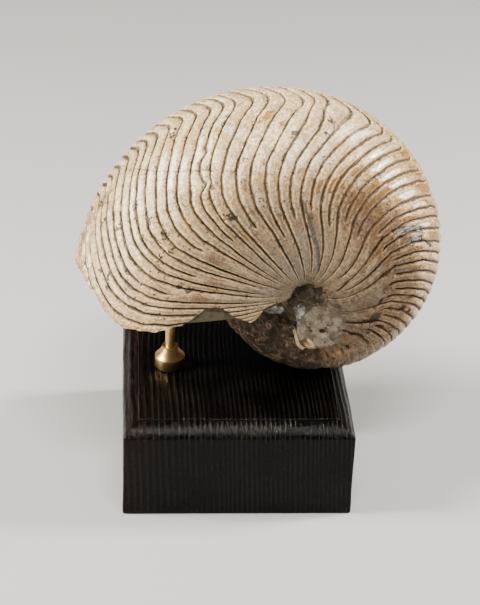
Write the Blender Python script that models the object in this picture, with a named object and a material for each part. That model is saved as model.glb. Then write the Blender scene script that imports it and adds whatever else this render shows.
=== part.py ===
"""A fossil nautiloid on its display stand: metres, +Z up.

The fossil is one stone: a nearly closed coil whose last whorl grows as a logarithmic spiral,
crossed by raised ribs that swing back in a V over the outer edge. Its opening faces down and is
filled with rock. It touches a stained wooden block with its lowest whorl, and a brass rod that
rises from a turned brass foot carries the overhanging last chamber.

The origin is the centre of the underside of the wooden block. The coil lies in the X-Z plane,
and -Y is the front, where the better side of the fossil faces.
"""
import math
import random

import bmesh
import bpy
import numpy as np
from mathutils import noise

# Wooden block
BLOCK_SIDE = 0.1000
BLOCK_HEIGHT = 0.0455
BEVEL_WIDTH = 0.0067
BEVEL_FALL = 0.0050
BEVEL_BULGE = 0.0007
BEVEL_STEPS = 5
PANEL_STEP = 0.0008
EDGE_ROUND = 0.0006

# Brass post
POST_X = -0.0291
POST_Y = 0.0
ROD_RADIUS = 0.0022
FOOT_RADIUS = 0.0067
FOOT_DRUM = 0.0056
FOOT_NECK_RADIUS = 0.0035
FOOT_HEIGHT = 0.0104
FOOT_BORE = 0.0025
GAP = 0.0003

# Coil of the fossil
COIL_X = 0.0272
COIL_Y = 0.0060
COIL_Z = 0.0957
RADIUS_UP = 0.0780          # axis to outer edge, straight above the axis
GROWTH = 0.1516             # natural growth of the radius per radian
HALF_WIDTH = 0.496          # greatest half width, as a share of the radius
SHOULDER = 0.431            # radius where the whorl is widest, as a share of the outer radius
OUTER_POWER = 0.486         # roundness of the outer edge
SIDE_POWER = 1.08           # roundness of the flank
NAVEL_WIDTH = 0.719         # half width left at the axis, as a share of the greatest
NAVEL_RADIUS = 0.0045       # open pit on the axis, on each side
NAVEL_OFFSET = 0.0270       # pit rim, out from the coil plane
NAVEL_DEPTH = 0.0045
REST_BULGE = 0.0015         # the lowest whorl is a little fuller where it rests
REST_ANGLE = math.radians(-81.4)

# Opening, filled with rock
MOUTH_EDGE = ((0.0, 178.5), (0.15, 178.0), (0.27, 179.5), (0.38, 182.8), (0.50, 183.7),
              (0.60, 182.6), (0.70, 184.5), (0.80, 188.0), (0.90, 185.0), (1.0, 183.0))
MOUTH_Z = 0.0962            # level rock face around the tip of the rod
CHIP_V = 0.645              # a chipped arch in the shell, at the front edge of the opening
CHIP_TOP = 174.0
CHIP_HALF_V = 0.065
CHIP_DEPTH = 0.0008

# Ribs
RIB_DEPTH = 0.0008
GROOVE_SHARE = 0.24         # a groove's half width, as a share of the rib spacing
SWEEP = 18.8                # degrees by which a rib runs ahead on the flank
YOUNG_SWEEP = 32.0          # degrees by which young ribs curl back near the pit
ROWS = (0.0, 0.07, 0.16, 0.27, 0.38, 0.49, 0.60, 0.70, 0.80, 0.90, 1.0)

SEED = 7


def smooth(value):
    """Ease from 0 to 1, flat at both ends."""
    t = min(max(value, 0.0), 1.0)
    return t * t * (3.0 - 2.0 * t)


def section_curve():
    """Half section of a whorl in shares of its radius: rows of (share of length, radius, width)."""
    t = np.linspace(0.0, math.pi / 2, 80)
    outer_r = SHOULDER + (1.0 - SHOULDER) * np.abs(np.cos(t)) ** OUTER_POWER
    outer_w = HALF_WIDTH * np.sin(t) ** SIDE_POWER
    inner_r = SHOULDER * (1.0 - np.sin(t))
    inner_w = HALF_WIDTH * (1.0 - (1.0 - NAVEL_WIDTH) * (1.0 - np.cos(t)))
    radius = np.concatenate([outer_r, inner_r[1:]])
    width = np.concatenate([outer_w, inner_w[1:]])
    steps = np.hypot(np.diff(radius), np.diff(width))
    length = np.concatenate([[0.0], np.cumsum(steps)])
    return length / length[-1], radius, width


SECTION = section_curve()


def coil_radius(phi):
    """Distance from the axis to the outer edge of the whorl at the angle phi."""
    bulge = REST_BULGE * math.exp(-((phi - REST_ANGLE) / math.radians(38.0)) ** 2)
    return RADIUS_UP * math.exp(GROWTH * (phi - math.pi / 2)) + bulge


def coil_point(phi, v):
    """Smooth surface: phi runs along the coil, v across it from -1 (back pit) to 1 (front pit)."""
    share, radius, width = SECTION
    size = coil_radius(phi)
    r = size * float(np.interp(abs(v), share, radius))
    w = size * float(np.interp(abs(v), share, width))
    inward = max((abs(v) - 0.5) / 0.5, 0.0) ** 2
    r = r * (1.0 - inward) + NAVEL_RADIUS * inward
    w = w * (1.0 - inward) + NAVEL_OFFSET * inward
    side = -1.0 if v > 0.0 else 1.0
    return np.array([COIL_X + r * math.cos(phi), COIL_Y + side * w, COIL_Z + r * math.sin(phi)])


def outward(phi, v):
    """Unit normal of the smooth surface, away from the stone."""
    d = 0.004
    v_low = max(v - d, -0.999)
    v_high = min(v + d, 0.999)
    along = coil_point(phi + d, v) - coil_point(phi - d, v)
    across = coil_point(phi, v_high) - coil_point(phi, v_low)
    normal = np.cross(across, along)
    return normal / np.linalg.norm(normal)


def rib_shift(phase, v):
    """Degrees by which the rib that crosses the outer edge at phase lies ahead at v."""
    a = abs(v)
    young = min(max((110.0 - phase) / 100.0, 0.0), 1.4)
    shift = SWEEP * smooth(a / 0.5) - 4.0 * smooth((a - 0.5) / 0.5)
    return shift - YOUNG_SWEEP * young * smooth((a - 0.5) / 0.35)


def phase_at(phi_degrees, v):
    """Rib phase of a place on the surface, the inverse of rib_shift."""
    phase = phi_degrees
    for _ in range(12):
        phase = phi_degrees - rib_shift(phase, v)
    return phase


def rib_spacing(phase):
    """Degrees from one groove to the next: close near the opening, wide on the young shell."""
    return 3.5 + 2.7 * smooth((160.0 - phase) / 160.0)


def lay_grooves():
    """Phases of all grooves, from the opening back through one whole whorl."""
    rng = random.Random(SEED)
    phases = []
    phase = 182.0
    while phase > -215.0:
        phases.append(phase)
        phase -= rib_spacing(phase) * rng.uniform(0.93, 1.07)
    return phases


GROOVES = lay_grooves()


def groove_end(index, phase):
    """Every second groove stops halfway down the flank, the others run on towards the pit."""
    if index % 2 == 0:
        return 0.92
    return 0.76 if phase > 130.0 else 0.60


def rib_relief(phase, v):
    """Depth below the rib tops at this place, 0 on a rib and RIB_DEPTH in a groove."""
    depth = 0.0
    for index, groove in enumerate(GROOVES):
        reach = GROOVE_SHARE * rib_spacing(groove)
        away = abs(phase - groove) / reach
        if away < 1.0:
            fade = 1.0 - smooth((abs(v) - groove_end(index, groove)) / 0.06)
            depth = max(depth, (1.0 - away) * fade)
    return RIB_DEPTH * depth


def mouth_edge(v):
    """Angle at which the shell ends, in degrees."""
    at, angle = zip(*MOUTH_EDGE)
    return float(np.interp(abs(v), at, angle))


def wear(phi_degrees, v):
    """Share of the ribs that is left: the front of the lowest whorl is broken to bare rock."""
    if v < 0.25:
        return 1.0
    return smooth((phi_degrees + 80.0) / 30.0)


def chipped(phi_degrees, v):
    """Share of the shell's thickness missing in the arch at the front of the opening."""
    off = (v - CHIP_V) / CHIP_HALF_V
    return smooth((phi_degrees - CHIP_TOP - 8.0 * off * off) / 1.5) if abs(off) < 1.0 else 0.0


def stone_point(phi_degrees, v):
    """Place on the finished stone, with ribs, chip, rough rock and the flat spot it rests on."""
    phi = math.radians(phi_degrees)
    place = coil_point(phi, v)
    kept = wear(phi_degrees, v)
    sink = rib_relief(phase_at(phi_degrees, v), v) * kept * coil_radius(phi) / RADIUS_UP
    sink += CHIP_DEPTH * chipped(phi_degrees, v)
    rough = noise.noise(place * 90.0) * 0.0009 + 0.0006
    sink += rough * (1.0 - kept)
    if abs(v) < 0.999:
        place = place - outward(phi, v) * sink
    place[2] = max(place[2], BLOCK_HEIGHT + GAP)
    return place


def add_material(obj, colour, roughness, metallic):
    """Give the object its own plain finish."""
    material = bpy.data.materials.new(obj.name)
    material.use_nodes = True
    shader = material.node_tree.nodes["Principled BSDF"]
    shader.inputs["Base Color"].default_value = (*colour, 1.0)
    shader.inputs["Roughness"].default_value = roughness
    shader.inputs["Metallic"].default_value = metallic
    obj.data.materials.append(material)


def add_object(name, mesh_maker):
    """Make a mesh object from a bmesh with its faces turned outwards."""
    bm = mesh_maker()
    bmesh.ops.recalc_face_normals(bm, faces=bm.faces)
    mesh = bpy.data.meshes.new(name)
    bm.to_mesh(mesh)
    bm.free()
    obj = bpy.data.objects.new(name, mesh)
    bpy.context.collection.objects.link(obj)
    return obj


def add_face(bm, corners):
    """Face on the given corners, leaving out repeats."""
    kept = []
    for corner in corners:
        if corner not in kept:
            kept.append(corner)
    if len(kept) > 2:
        bm.faces.new(kept)


def rib_columns():
    """Phases of the mesh columns: a groove and the two edges of the rib beside it, for each rib."""
    columns = []
    for first, second in zip(GROOVES, GROOVES[1:]):
        reach = GROOVE_SHARE * rib_spacing(first)
        columns += [(first, True), (first - reach, False), (second + reach, False)]
    return columns


def stone_rows(bm, columns):
    """Vertices of the whorl, one list for each row, cut off at both ends by the mouth's edge."""
    rows = []
    across = [-v for v in ROWS[:0:-1]] + list(ROWS)
    for v in across:
        end = mouth_edge(v)
        start = end - 360.0
        at_pit = abs(v) > 0.999
        first = bm.verts.new(stone_point(end, v))
        last = first if at_pit else bm.verts.new(stone_point(start, v))
        row = [first]
        for phase, is_groove in columns:
            phi = phase + rib_shift(phase, v)
            if phi > end - 0.5:
                row.append(first)
            elif phi < start + 0.5:
                row.append(last)
            elif at_pit and not is_groove:
                row.append(row[-1])
            else:
                row.append(bm.verts.new(stone_point(phi, v)))
        row.append(last)
        rows.append(row)
    return across, rows


def close_pit(bm, row, side):
    """Close the ring around the axis with a shallow pit."""
    ring = []
    for vert in row:
        if vert not in ring:
            ring.append(vert)
    floor_y = COIL_Y + side * (NAVEL_OFFSET - NAVEL_DEPTH)
    floor = []
    for vert in ring:
        x = COIL_X + (vert.co.x - COIL_X) * 0.6
        z = COIL_Z + (vert.co.z - COIL_Z) * 0.6
        floor.append(bm.verts.new((x, floor_y, z)))
    for i in range(len(ring)):
        j = (i + 1) % len(ring)
        bm.faces.new((ring[i], ring[j], floor[j], floor[i]))
    bm.faces.new(floor)


def close_mouth(bm, across, rows):
    """Rock face of the opening, between the last whorl and the one that it covers."""
    shares = (0.08, 0.55, 0.85)
    lines = []
    for v, row in zip(across, rows):
        first = np.array(row[0].co)
        last = np.array(row[-1].co)
        line = [row[0]]
        for share in shares:
            place = first + (last - first) * share
            if abs(v) < 0.2 and share > 0.5:
                place[2] = MOUTH_Z
            elif abs(v) < 0.999:
                place[2] += 0.0012 * smooth((1.0 - abs(v)) / 0.3)
            line.append(row[0] if abs(v) > 0.999 else bm.verts.new(place))
        line.append(row[-1])
        lines.append(line)
    for low, high in zip(lines, lines[1:]):
        for i in range(len(low) - 1):
            add_face(bm, (low[i], low[i + 1], high[i + 1], high[i]))


def stone_mesh():
    """The whole fossil as one closed body."""
    bm = bmesh.new()
    across, rows = stone_rows(bm, rib_columns())
    for low, high in zip(rows, rows[1:]):
        for i in range(len(low) - 1):
            add_face(bm, (low[i], low[i + 1], high[i + 1], high[i]))
    close_mouth(bm, across, rows)
    close_pit(bm, rows[0], 1.0)
    close_pit(bm, rows[-1], -1.0)
    return bm


def turned_mesh(profile, segments):
    """Ring or pin turned about the post's axis from (radius, height) points."""
    bm = bmesh.new()
    loops = []
    for radius, height in profile:
        if radius == 0.0:
            loops.append([bm.verts.new((0.0, 0.0, height))])
            continue
        loop = []
        for k in range(segments):
            turn = 2.0 * math.pi * k / segments
            loop.append(bm.verts.new((radius * math.cos(turn), radius * math.sin(turn), height)))
        loops.append(loop)
    pairs = list(zip(loops, loops[1:]))
    if profile[0][0] > 0.0:
        pairs.append((loops[-1], loops[0]))
    for a, b in pairs:
        for k in range(segments):
            n = (k + 1) % segments
            add_face(bm, (a[k % len(a)], a[n % len(a)], b[n % len(b)], b[k % len(b)]))
    return bm


def foot_profile():
    """Turned foot: a drum, a hollow sweep up to the neck, and a rounded collar on top."""
    edge = 0.0005
    profile = [(FOOT_BORE, 0.0), (FOOT_RADIUS - edge, 0.0), (FOOT_RADIUS, edge)]
    profile += [(FOOT_RADIUS, FOOT_DRUM - edge), (FOOT_RADIUS - edge, FOOT_DRUM)]
    sweep_top = 0.0084
    for k in range(1, 5):
        t = k / 4 * math.pi / 2
        radius = FOOT_RADIUS - edge - (FOOT_RADIUS - edge - FOOT_NECK_RADIUS) * math.sin(t)
        profile.append((radius, sweep_top - (sweep_top - FOOT_DRUM) * math.cos(t)))
    collar = FOOT_NECK_RADIUS + 0.0004
    profile += [(collar, sweep_top + 0.0005), (collar, FOOT_HEIGHT - 0.0006)]
    profile += [(FOOT_NECK_RADIUS, FOOT_HEIGHT), (FOOT_BORE, FOOT_HEIGHT)]
    return profile


def rod_profile(length):
    """Plain round rod with small chamfers."""
    chamfer = 0.0003
    return [(0.0, 0.0), (ROD_RADIUS - chamfer, 0.0), (ROD_RADIUS, chamfer),
            (ROD_RADIUS, length - chamfer), (ROD_RADIUS - chamfer, length), (0.0, length)]


def block_mesh():
    """Square block with a rounded bevel under a slightly raised top panel."""
    half = BLOCK_SIDE / 2
    panel = half - BEVEL_WIDTH
    bevel_top = BLOCK_HEIGHT - PANEL_STEP
    outline = [(half - EDGE_ROUND, 0.0), (half, EDGE_ROUND)]
    for k in range(BEVEL_STEPS + 1):
        t = k / BEVEL_STEPS
        bulge = BEVEL_BULGE * 4.0 * t * (1.0 - t)
        outline.append((half - BEVEL_WIDTH * t + bulge, bevel_top - BEVEL_FALL * (1.0 - t) + bulge))
    outline += [(panel, BLOCK_HEIGHT - EDGE_ROUND / 2), (panel - EDGE_ROUND / 2, BLOCK_HEIGHT)]
    bm = bmesh.new()
    loops = []
    for reach, height in outline:
        corners = ((-reach, -reach), (reach, -reach), (reach, reach), (-reach, reach))
        loops.append([bm.verts.new((x, y, height)) for x, y in corners])
    for low, high in zip(loops, loops[1:]):
        for k in range(4):
            n = (k + 1) % 4
            bm.faces.new((low[k], low[n], high[n], high[k]))
    bm.faces.new(loops[0])
    bm.faces.new(loops[-1])
    return bm


def build():
    """Model the four pieces."""
    for obj in list(bpy.data.objects):
        bpy.data.objects.remove(obj, do_unlink=True)

    block = add_object("wooden_base", block_mesh)
    add_material(block, (0.018, 0.016, 0.015), 0.38, 0.0)

    foot = add_object("brass_foot", lambda: turned_mesh(foot_profile(), 28))
    foot.location = (POST_X, POST_Y, BLOCK_HEIGHT + GAP)
    foot.data.shade_smooth()
    foot.data.set_sharp_from_angle(angle=math.radians(35.0))
    add_material(foot, (0.62, 0.44, 0.20), 0.32, 1.0)

    rod_length = MOUTH_Z - BLOCK_HEIGHT - 2.0 * GAP
    rod = add_object("brass_rod", lambda: turned_mesh(rod_profile(rod_length), 20))
    rod.location = (POST_X, POST_Y, BLOCK_HEIGHT + GAP)
    rod.data.shade_smooth()
    rod.data.set_sharp_from_angle(angle=math.radians(35.0))
    add_material(rod, (0.62, 0.44, 0.20), 0.30, 1.0)

    stone = add_object("fossil_nautiloid", stone_mesh)
    add_material(stone, (0.58, 0.48, 0.36), 0.55, 0.0)


build()
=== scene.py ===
"""Looks of the fossil nautiloid and its stand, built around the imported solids. Metres, +Z up."""

import math
import random
from itertools import product

import bpy
import numpy as np
from mathutils import Matrix, Vector


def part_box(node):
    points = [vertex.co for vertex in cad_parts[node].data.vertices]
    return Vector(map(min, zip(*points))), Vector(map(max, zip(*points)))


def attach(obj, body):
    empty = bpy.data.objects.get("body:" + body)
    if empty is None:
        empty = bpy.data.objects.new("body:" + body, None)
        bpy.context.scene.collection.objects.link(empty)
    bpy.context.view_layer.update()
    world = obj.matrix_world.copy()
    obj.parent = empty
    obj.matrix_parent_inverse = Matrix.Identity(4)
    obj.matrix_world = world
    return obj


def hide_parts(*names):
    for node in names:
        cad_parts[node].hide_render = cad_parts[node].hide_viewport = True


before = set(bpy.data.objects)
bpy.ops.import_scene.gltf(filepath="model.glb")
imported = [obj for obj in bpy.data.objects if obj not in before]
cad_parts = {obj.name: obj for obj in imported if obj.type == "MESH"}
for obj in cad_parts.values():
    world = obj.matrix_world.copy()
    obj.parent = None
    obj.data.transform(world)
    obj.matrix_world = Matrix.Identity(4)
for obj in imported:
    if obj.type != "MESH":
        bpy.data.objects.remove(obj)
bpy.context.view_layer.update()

MM = 0.001
SEED = 7

# Coil of the fossil
COIL_X = 0.0272
COIL_Y = 0.006
COIL_Z = 0.0957
RADIUS_UP = 0.078
GROWTH = 0.1516
HALF_WIDTH = 0.496
SHOULDER = 0.431
OUTER_POWER = 0.486
SIDE_POWER = 1.08
NAVEL_WIDTH = 0.719
NAVEL_RADIUS = 0.0045
NAVEL_OFFSET = 0.027
NAVEL_DEPTH = 0.0004
PIT_X = 0.0008
PIT_Z = -0.0012
PIT_REACH_X = 0.0078
PIT_REACH_Z = 0.0064
PIT_FLOOR = 0.9             # height of the pit's rough floor above its middle, in millimetres
REST_BULGE = 0.0015
REST_GAP = 0.0002
REST_ANGLE = math.radians(-81.4)
REST_SPREAD = math.radians(38.0)
PIT_SPAN = 0.3              # v runs on past 1 by this much, down to the floor of the pit

# Rows of the front, as the v up to which they go and how far apart they are, and the number at the back
ROW_STEPS = ((0.36, 0.0108), (0.82, 0.0092), (1.0, 0.015))
BACK_ROWS = 56

# Ribs: heights and widths in millimetres, sweep and lean in degrees, places of the columns in shares
GROOVE_DEPTH = 0.55
GROOVE_HALF = 0.4
RIB_DOME = 1.75
YOUNG_DOME = 1.15
YOUNG_SWEEP = 32.0
YOUNG_LEAN = 3.0
SPACING_LAST = 3.5          # degrees between the grooves of the last ribs
SPACING_MORE = 1.95         # degrees by which the older grooves lie farther apart
GUESSED_END = 0.53          # v at which a groove that isn't seen ends
LAST_PHASE = -215.0         # rib phase, in degrees, past which no groove is laid
OFF_GROOVE = 3.0            # distance in millimetres from a groove at which its colours end
COLUMN_SHARES = (0.0, 0.035, 0.07, 0.11, 0.17, 0.28, 0.5, 0.72, 0.83, 0.89, 0.93, 0.965)

# Degrees by which a rib runs ahead at v of where it crosses the outer edge
RIB_SWEEP = ((0.0, 0.0), (0.02, 0.15), (0.05, 1.0), (0.115, 3.8), (0.205, 7.5), (0.28, 11.1), (0.345, 14.8),
             (0.4, 17.0), (0.455, 18.4), (0.51, 18.8), (0.565, 18.7), (0.66, 18.0), (0.8, 16.5),
             (1.0, 15.0))
# Grooves measured off the photograph: rib phase in degrees, and the v at which each one ends
MEASURED = ((168.8, 0.75), (164.8, 0.83), (160.6, 0.75), (157.3, 0.84), (154.1, 0.76), (150.8, 0.5),
            (147.2, 0.82), (143.3, 0.74), (140.3, 0.55), (136.5, 0.72), (132.4, 0.84), (128.0, 0.52),
            (123.8, 0.78), (119.3, 0.84), (115.7, 0.56), (112.1, 0.78), (107.2, 0.86), (102.2, 0.56),
            (97.1, 0.85), (91.4, 0.62), (86.2, 0.84), (81.1, 0.56), (76.2, 0.8), (71.5, 0.52), (66.4, 0.84),
            (61.9, 0.58), (57.0, 0.82), (51.8, 0.54), (46.3, 0.85), (40.9, 0.57), (34.0, 0.72), (28.9, 0.5),
            (24.1, 0.71), (18.5, 0.52), (12.4, 0.71), (7.2, 0.5), (2.2, 0.78), (-3.6, 0.5), (-9.0, 0.53),
            (-14.2, 0.5), (-19.2, 0.53), (-24.0, 0.73), (-30.0, 0.52), (-35.6, 0.5), (-41.2, 0.6),
            (-46.4, 0.5), (-51.4, 0.52), (-57.8, 0.54))

# Edge of the shell at the opening, as (v, degrees), front and back
FRONT_EDGE = ((0.0, 178.5), (0.14, 177.6), (0.24, 178.6), (0.3, 180.6), (0.36, 183.4), (0.4, 185.2),
              (0.5, 185.5), (0.54, 184.9), (0.575, 183.4), (0.6, 180.2), (0.62, 176.6), (0.645, 173.8),
              (0.665, 175.2), (0.685, 178.6), (0.7, 182.4), (0.73, 188.0), (0.75, 191.5), (0.77, 188.4),
              (0.79, 178.5), (0.845, 174.0), (0.92, 180.0), (1.0, 183.0))
BACK_EDGE = ((0.0, 178.5), (0.15, 178.0), (0.27, 180.0), (0.38, 184.0), (0.5, 185.0), (0.6, 183.8),
             (0.7, 184.5), (0.8, 188.0), (0.9, 185.0), (1.0, 183.0))
ROCK_EDGE = ((0.0, 178.0), (0.24, 178.0), (0.37, 182.6), (0.54, 184.0), (0.6, 184.0), (0.7, 185.2),
             (0.77, 187.6), (0.85, 184.0), (1.0, 183.0))
COIL_KEPT = 370.0           # degrees of the coil that are kept behind the edge
MOUTH_Z = 0.0962
SHELL_THICKNESS = 1.2       # millimetres
FILL_DEPTH = 2.3            # millimetres from the smooth surface down to the rock inside the shell
MOUTH_SIDE = 0.985          # v at which the rock of the opening ends
MOUTH_TUCK = 14.0           # degrees by which it runs back inside the shell
MOUTH_BEND = 0.6            # degrees before its end at which it starts to bend over
TUCK_LINES = 14             # lines of points inside the shell
MOUTH_LINES = 46            # lines of points across the opening
SEAM = -0.10                # v at which the mesh is parted into a front and a back piece

# Camera
CAMERA_AZIMUTH = -4.08
CAMERA_ELEVATION = 30.5
CAMERA_ROLL = 2.26
CAMERA_DISTANCE = 0.8806
CAMERA_TARGET = (0.00128, 0.0, 0.07816)
CAMERA_LENS = 119.0
SENSOR_WIDTH = 36.0


def ease(value):
    """Ease from 0 to 1, flat at both ends, for numbers and arrays."""
    t = np.clip(value, 0.0, 1.0)
    return t * t * (3.0 - 2.0 * t)


def value_noise(points, seed=0):
    """Smooth noise between -1 and 1 at each point of an N x 3 array."""
    cell = np.floor(points).astype(np.int64)
    part = points - cell
    blend = part * part * (3.0 - 2.0 * part)
    total = np.zeros(len(points))
    for corner in product((0, 1), repeat=3):
        x, y, z = (cell + np.array(corner)).T
        mixed = (x * 73856093) ^ (y * 19349663) ^ (z * 83492791) ^ (seed * 40503)
        mixed = ((mixed ^ (mixed >> 13)) * 1274126177) & 0x7FFFFFFF
        mixed = (mixed ^ (mixed >> 15)) & 0xFFFF
        share = np.prod(np.where(np.array(corner) == 1, blend, 1.0 - blend), axis=1)
        total += (mixed / 32767.5 - 1.0) * share
    return total


def fractal(points, size, octaves=3, seed=0):
    """Layered noise whose largest features are about size metres across."""
    shape = points.shape[:-1]
    flat = points.reshape(-1, 3) / size
    total = np.zeros(len(flat))
    weight = 1.0
    for k in range(octaves):
        total += weight * value_noise(flat * 2.0 ** k + 17.3 * k, seed + k)
        weight *= 0.5
    return total.reshape(shape)


def section_curve():
    """Half section of a whorl in shares of its radius: share of length, radius, width."""
    t = np.linspace(0.0, math.pi / 2, 80)
    outer_r = SHOULDER + (1.0 - SHOULDER) * np.abs(np.cos(t)) ** OUTER_POWER
    outer_w = HALF_WIDTH * np.sin(t) ** SIDE_POWER
    inner_r = SHOULDER * (1.0 - np.sin(t))
    inner_w = HALF_WIDTH * (1.0 - (1.0 - NAVEL_WIDTH) * (1.0 - np.cos(t)))
    radius = np.concatenate([outer_r, inner_r[1:]])
    width = np.concatenate([outer_w, inner_w[1:]])
    length = np.concatenate([[0.0], np.cumsum(np.hypot(np.diff(radius), np.diff(width)))])
    return length / length[-1], radius, width


SECTION = section_curve()


def coil_radius(phi):
    """Distance from the axis to the outer edge at the angle phi, in radians."""
    bulge = REST_BULGE * np.exp(-((phi - REST_ANGLE) / REST_SPREAD) ** 2)
    return RADIUS_UP * np.exp(GROWTH * (phi - math.pi / 2)) + bulge


def coil_point(phi, v):
    """Smooth surface: phi along the coil, v across it, past 1 down into the pit."""
    share, radius, width = SECTION
    a = np.abs(v)
    size = coil_radius(phi)
    r = size * np.interp(a, share, radius)
    w = size * np.interp(a, share, width)
    inward = np.clip((a - 0.5) / 0.5, 0.0, 1.0) ** 2
    r = r * (1.0 - inward) + NAVEL_RADIUS * inward
    w = w * (1.0 - inward) + NAVEL_OFFSET * inward
    sunk = np.clip((a - 1.0) / PIT_SPAN, 0.0, 1.0)
    r = r * (1.0 - sunk)
    w = w - NAVEL_DEPTH * np.sin(sunk * math.pi / 2)
    side = np.where(v > 0.0, -1.0, 1.0)
    return np.stack([COIL_X + r * np.cos(phi), COIL_Y + side * w, COIL_Z + r * np.sin(phi)], -1)


def outward(phi, v):
    """Unit normals of the smooth surface, away from the stone."""
    d = 0.004
    limit = 1.0 + PIT_SPAN - 0.01
    low = np.clip(v - d, -limit, limit)
    high = np.clip(v + d, -limit, limit)
    along = coil_point(phi + d, v) - coil_point(phi - d, v)
    across = coil_point(phi, high) - coil_point(phi, low)
    normal = np.cross(along, across)
    return normal / np.maximum(np.linalg.norm(normal, axis=-1, keepdims=True), 1e-12)


def rib_shift(phase, v):
    """Degrees by which the rib that crosses the outer edge at phase lies ahead at v."""
    a = np.minimum(np.abs(v), 1.0)
    young = np.clip((110.0 - phase) / 100.0, 0.0, 1.4)
    shift = np.interp(a, *zip(*RIB_SWEEP))
    lean = YOUNG_LEAN * ease((80.0 - phase) / 9.0) * (1.0 - ease(a / 0.30))
    return shift - lean - YOUNG_SWEEP * young * ease((a - 0.5) / 0.35)


def rib_spacing(phase):
    """Degrees from one groove to the next."""
    return SPACING_LAST + SPACING_MORE * float(ease((158.0 - phase) / 85.0))


def lay_grooves():
    """Phase and end of every groove, from the opening back through one whole whorl."""
    rng = random.Random(SEED)
    grooves = [(phase, 0.75) for phase in (183.2, 179.7, 176.2, 172.5)] + list(MEASURED)
    while grooves[-1][0] > LAST_PHASE:
        phase = grooves[-1][0]
        spacing = rib_spacing(phase) * rng.uniform(0.93, 1.07)
        grooves.append((phase - spacing, GUESSED_END + rng.uniform(-0.05, 0.05)))
    phases, ends = zip(*grooves)
    return np.array(phases), np.array(ends)


GROOVES, GROOVE_ENDS = lay_grooves()


# Jogs where a rib was hurt and healed: phase, v, reach in phase, reach in v, shift in degrees
JOGS = ((115.7, 0.232, 2.3, 0.016, -1.5), (115.4, 0.348, 3.4, 0.015, -3.0),
        (115.4, 0.318, 3.2, 0.018, -1.3), (82.0, 0.03, 5.2, 0.085, 3.8), (128.0, 0.05, 3.0, 0.04, 1.0),
        (152.0, 0.5, 3.0, 0.03, 0.6), (97.0, 0.62, 3.0, 0.05, -0.8), (35.0, 0.55, 4.0, 0.06, 0.9))


def jog(phase, v):
    """Shift of the ribs in degrees from small waves and from healed injuries."""
    where = np.stack([phase / 9.0, v * 7.0, np.zeros_like(v)], -1)
    shift = 0.34 * fractal(where, 1.0, 2, seed=3)
    where = np.stack([phase / 3.0, v * 26.0, np.ones_like(v)], -1)
    shift = shift + 0.26 * fractal(where, 1.0, 2, seed=4)
    for centre, at, reach, reach_v, amount in JOGS:
        near = np.exp(-((phase - centre) / reach) ** 2 - ((v - at) / reach_v) ** 2)
        shift = shift + amount * near
    return shift


def row_places():
    """Values of v for the rows: close on the front flank, wider on the back."""
    front = [0.0]
    while front[-1] < 0.999:
        front.append(front[-1] + next(step for end, step in ROW_STEPS if front[-1] < end))
    front = np.array(front) / front[-1]
    back = np.linspace(0.0, 1.0, BACK_ROWS)[1:]
    pit = 1.0 + PIT_SPAN * np.array([0.15, 0.35, 0.6, 0.85, 0.999])
    back_pit = 1.0 + PIT_SPAN * np.array([0.25, 0.6, 0.999])
    return np.concatenate([-back_pit[::-1], -back[::-1], front, pit])


def blob(a, v, centre_a, centre_v, size_a, size_v):
    """Soft spot on the front side."""
    return np.exp(-((a - centre_a) / size_a) ** 2 - ((v - centre_v) / size_v) ** 2)


def spots(a, v, rows):
    """Several soft spots, the strongest at each place."""
    total = np.zeros_like(a)
    for row in rows:
        total = np.maximum(total, blob(a, v, *row))
    return total


# Painted places on the ribbed part: rib phase in degrees, v, and their reach in both
RUST_SPOTS = ((99.0, 0.12, 1.8, 0.03), (101.0, 0.155, 1.4, 0.012), (92.5, 0.165, 1.4, 0.02),
              (54.0, 0.05, 3.0, 0.05), (46.0, 0.08, 3.0, 0.06), (38.0, 0.12, 3.0, 0.08),
              (58.0, 0.33, 3.0, 0.04), (50.0, 0.36, 3.0, 0.05), (43.0, 0.35, 3.0, 0.04),
              (30.0, 0.2, 3.0, 0.1), (24.0, 0.1, 3.0, 0.08), (27.0, 0.34, 3.0, 0.05),
              (47.0, 0.45, 4.0, 0.05), (16.0, 0.22, 4.0, 0.06), (108.0, 0.58, 2.0, 0.03),
              (10.0, 0.38, 4.0, 0.04), (62.0, 0.4, 3.0, 0.04))
BROWN_SPOTS = ((92.0, 0.57, 7.0, 0.045), (98.0, 0.52, 4.0, 0.04), (50.0, 0.45, 14.0, 0.08),
               (30.0, 0.51, 22.0, 0.08), (2.0, 0.48, 20.0, 0.11), (75.0, 0.57, 7.0, 0.04),
               (128.0, 0.58, 7.0, 0.04), (142.0, 0.62, 6.0, 0.03), (68.0, 0.44, 4.0, 0.04),
               (111.0, 0.55, 5.0, 0.03), (178.0, 0.2, 2.4, 0.1), (176.0, 0.33, 1.4, 0.05),
               (172.0, 0.05, 9.0, 0.035), (157.0, 0.065, 7.0, 0.03), (108.5, 0.495, 3.5, 0.022),
               (99.0, 0.4, 3.0, 0.03), (150.0, 0.6, 8.0, 0.03))
# Pearly crests, whitened in colour as painted highlight where the lamps reflect
PEARL_HIGHLIGHT_SPOTS = ((54.5, 0.24, 3.0, 0.055), (49.0, 0.26, 2.6, 0.055), (43.5, 0.26, 2.6, 0.055),
               (37.5, 0.27, 2.8, 0.05), (59.5, 0.21, 3.0, 0.045), (70.0, 0.15, 5.0, 0.06),
               (31.0, 0.25, 2.4, 0.05), (21.0, 0.28, 2.4, 0.04), (117.0, 0.22, 4.0, 0.07),
               (130.0, 0.2, 6.0, 0.06), (125.0, 0.24, 4.0, 0.05), (141.0, 0.22, 4.0, 0.05),
               (13.0, 0.42, 2.0, 0.05), (3.0, 0.47, 2.0, 0.05), (-3.0, 0.47, 2.0, 0.05),
               (-9.0, 0.46, 1.6, 0.05))
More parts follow.
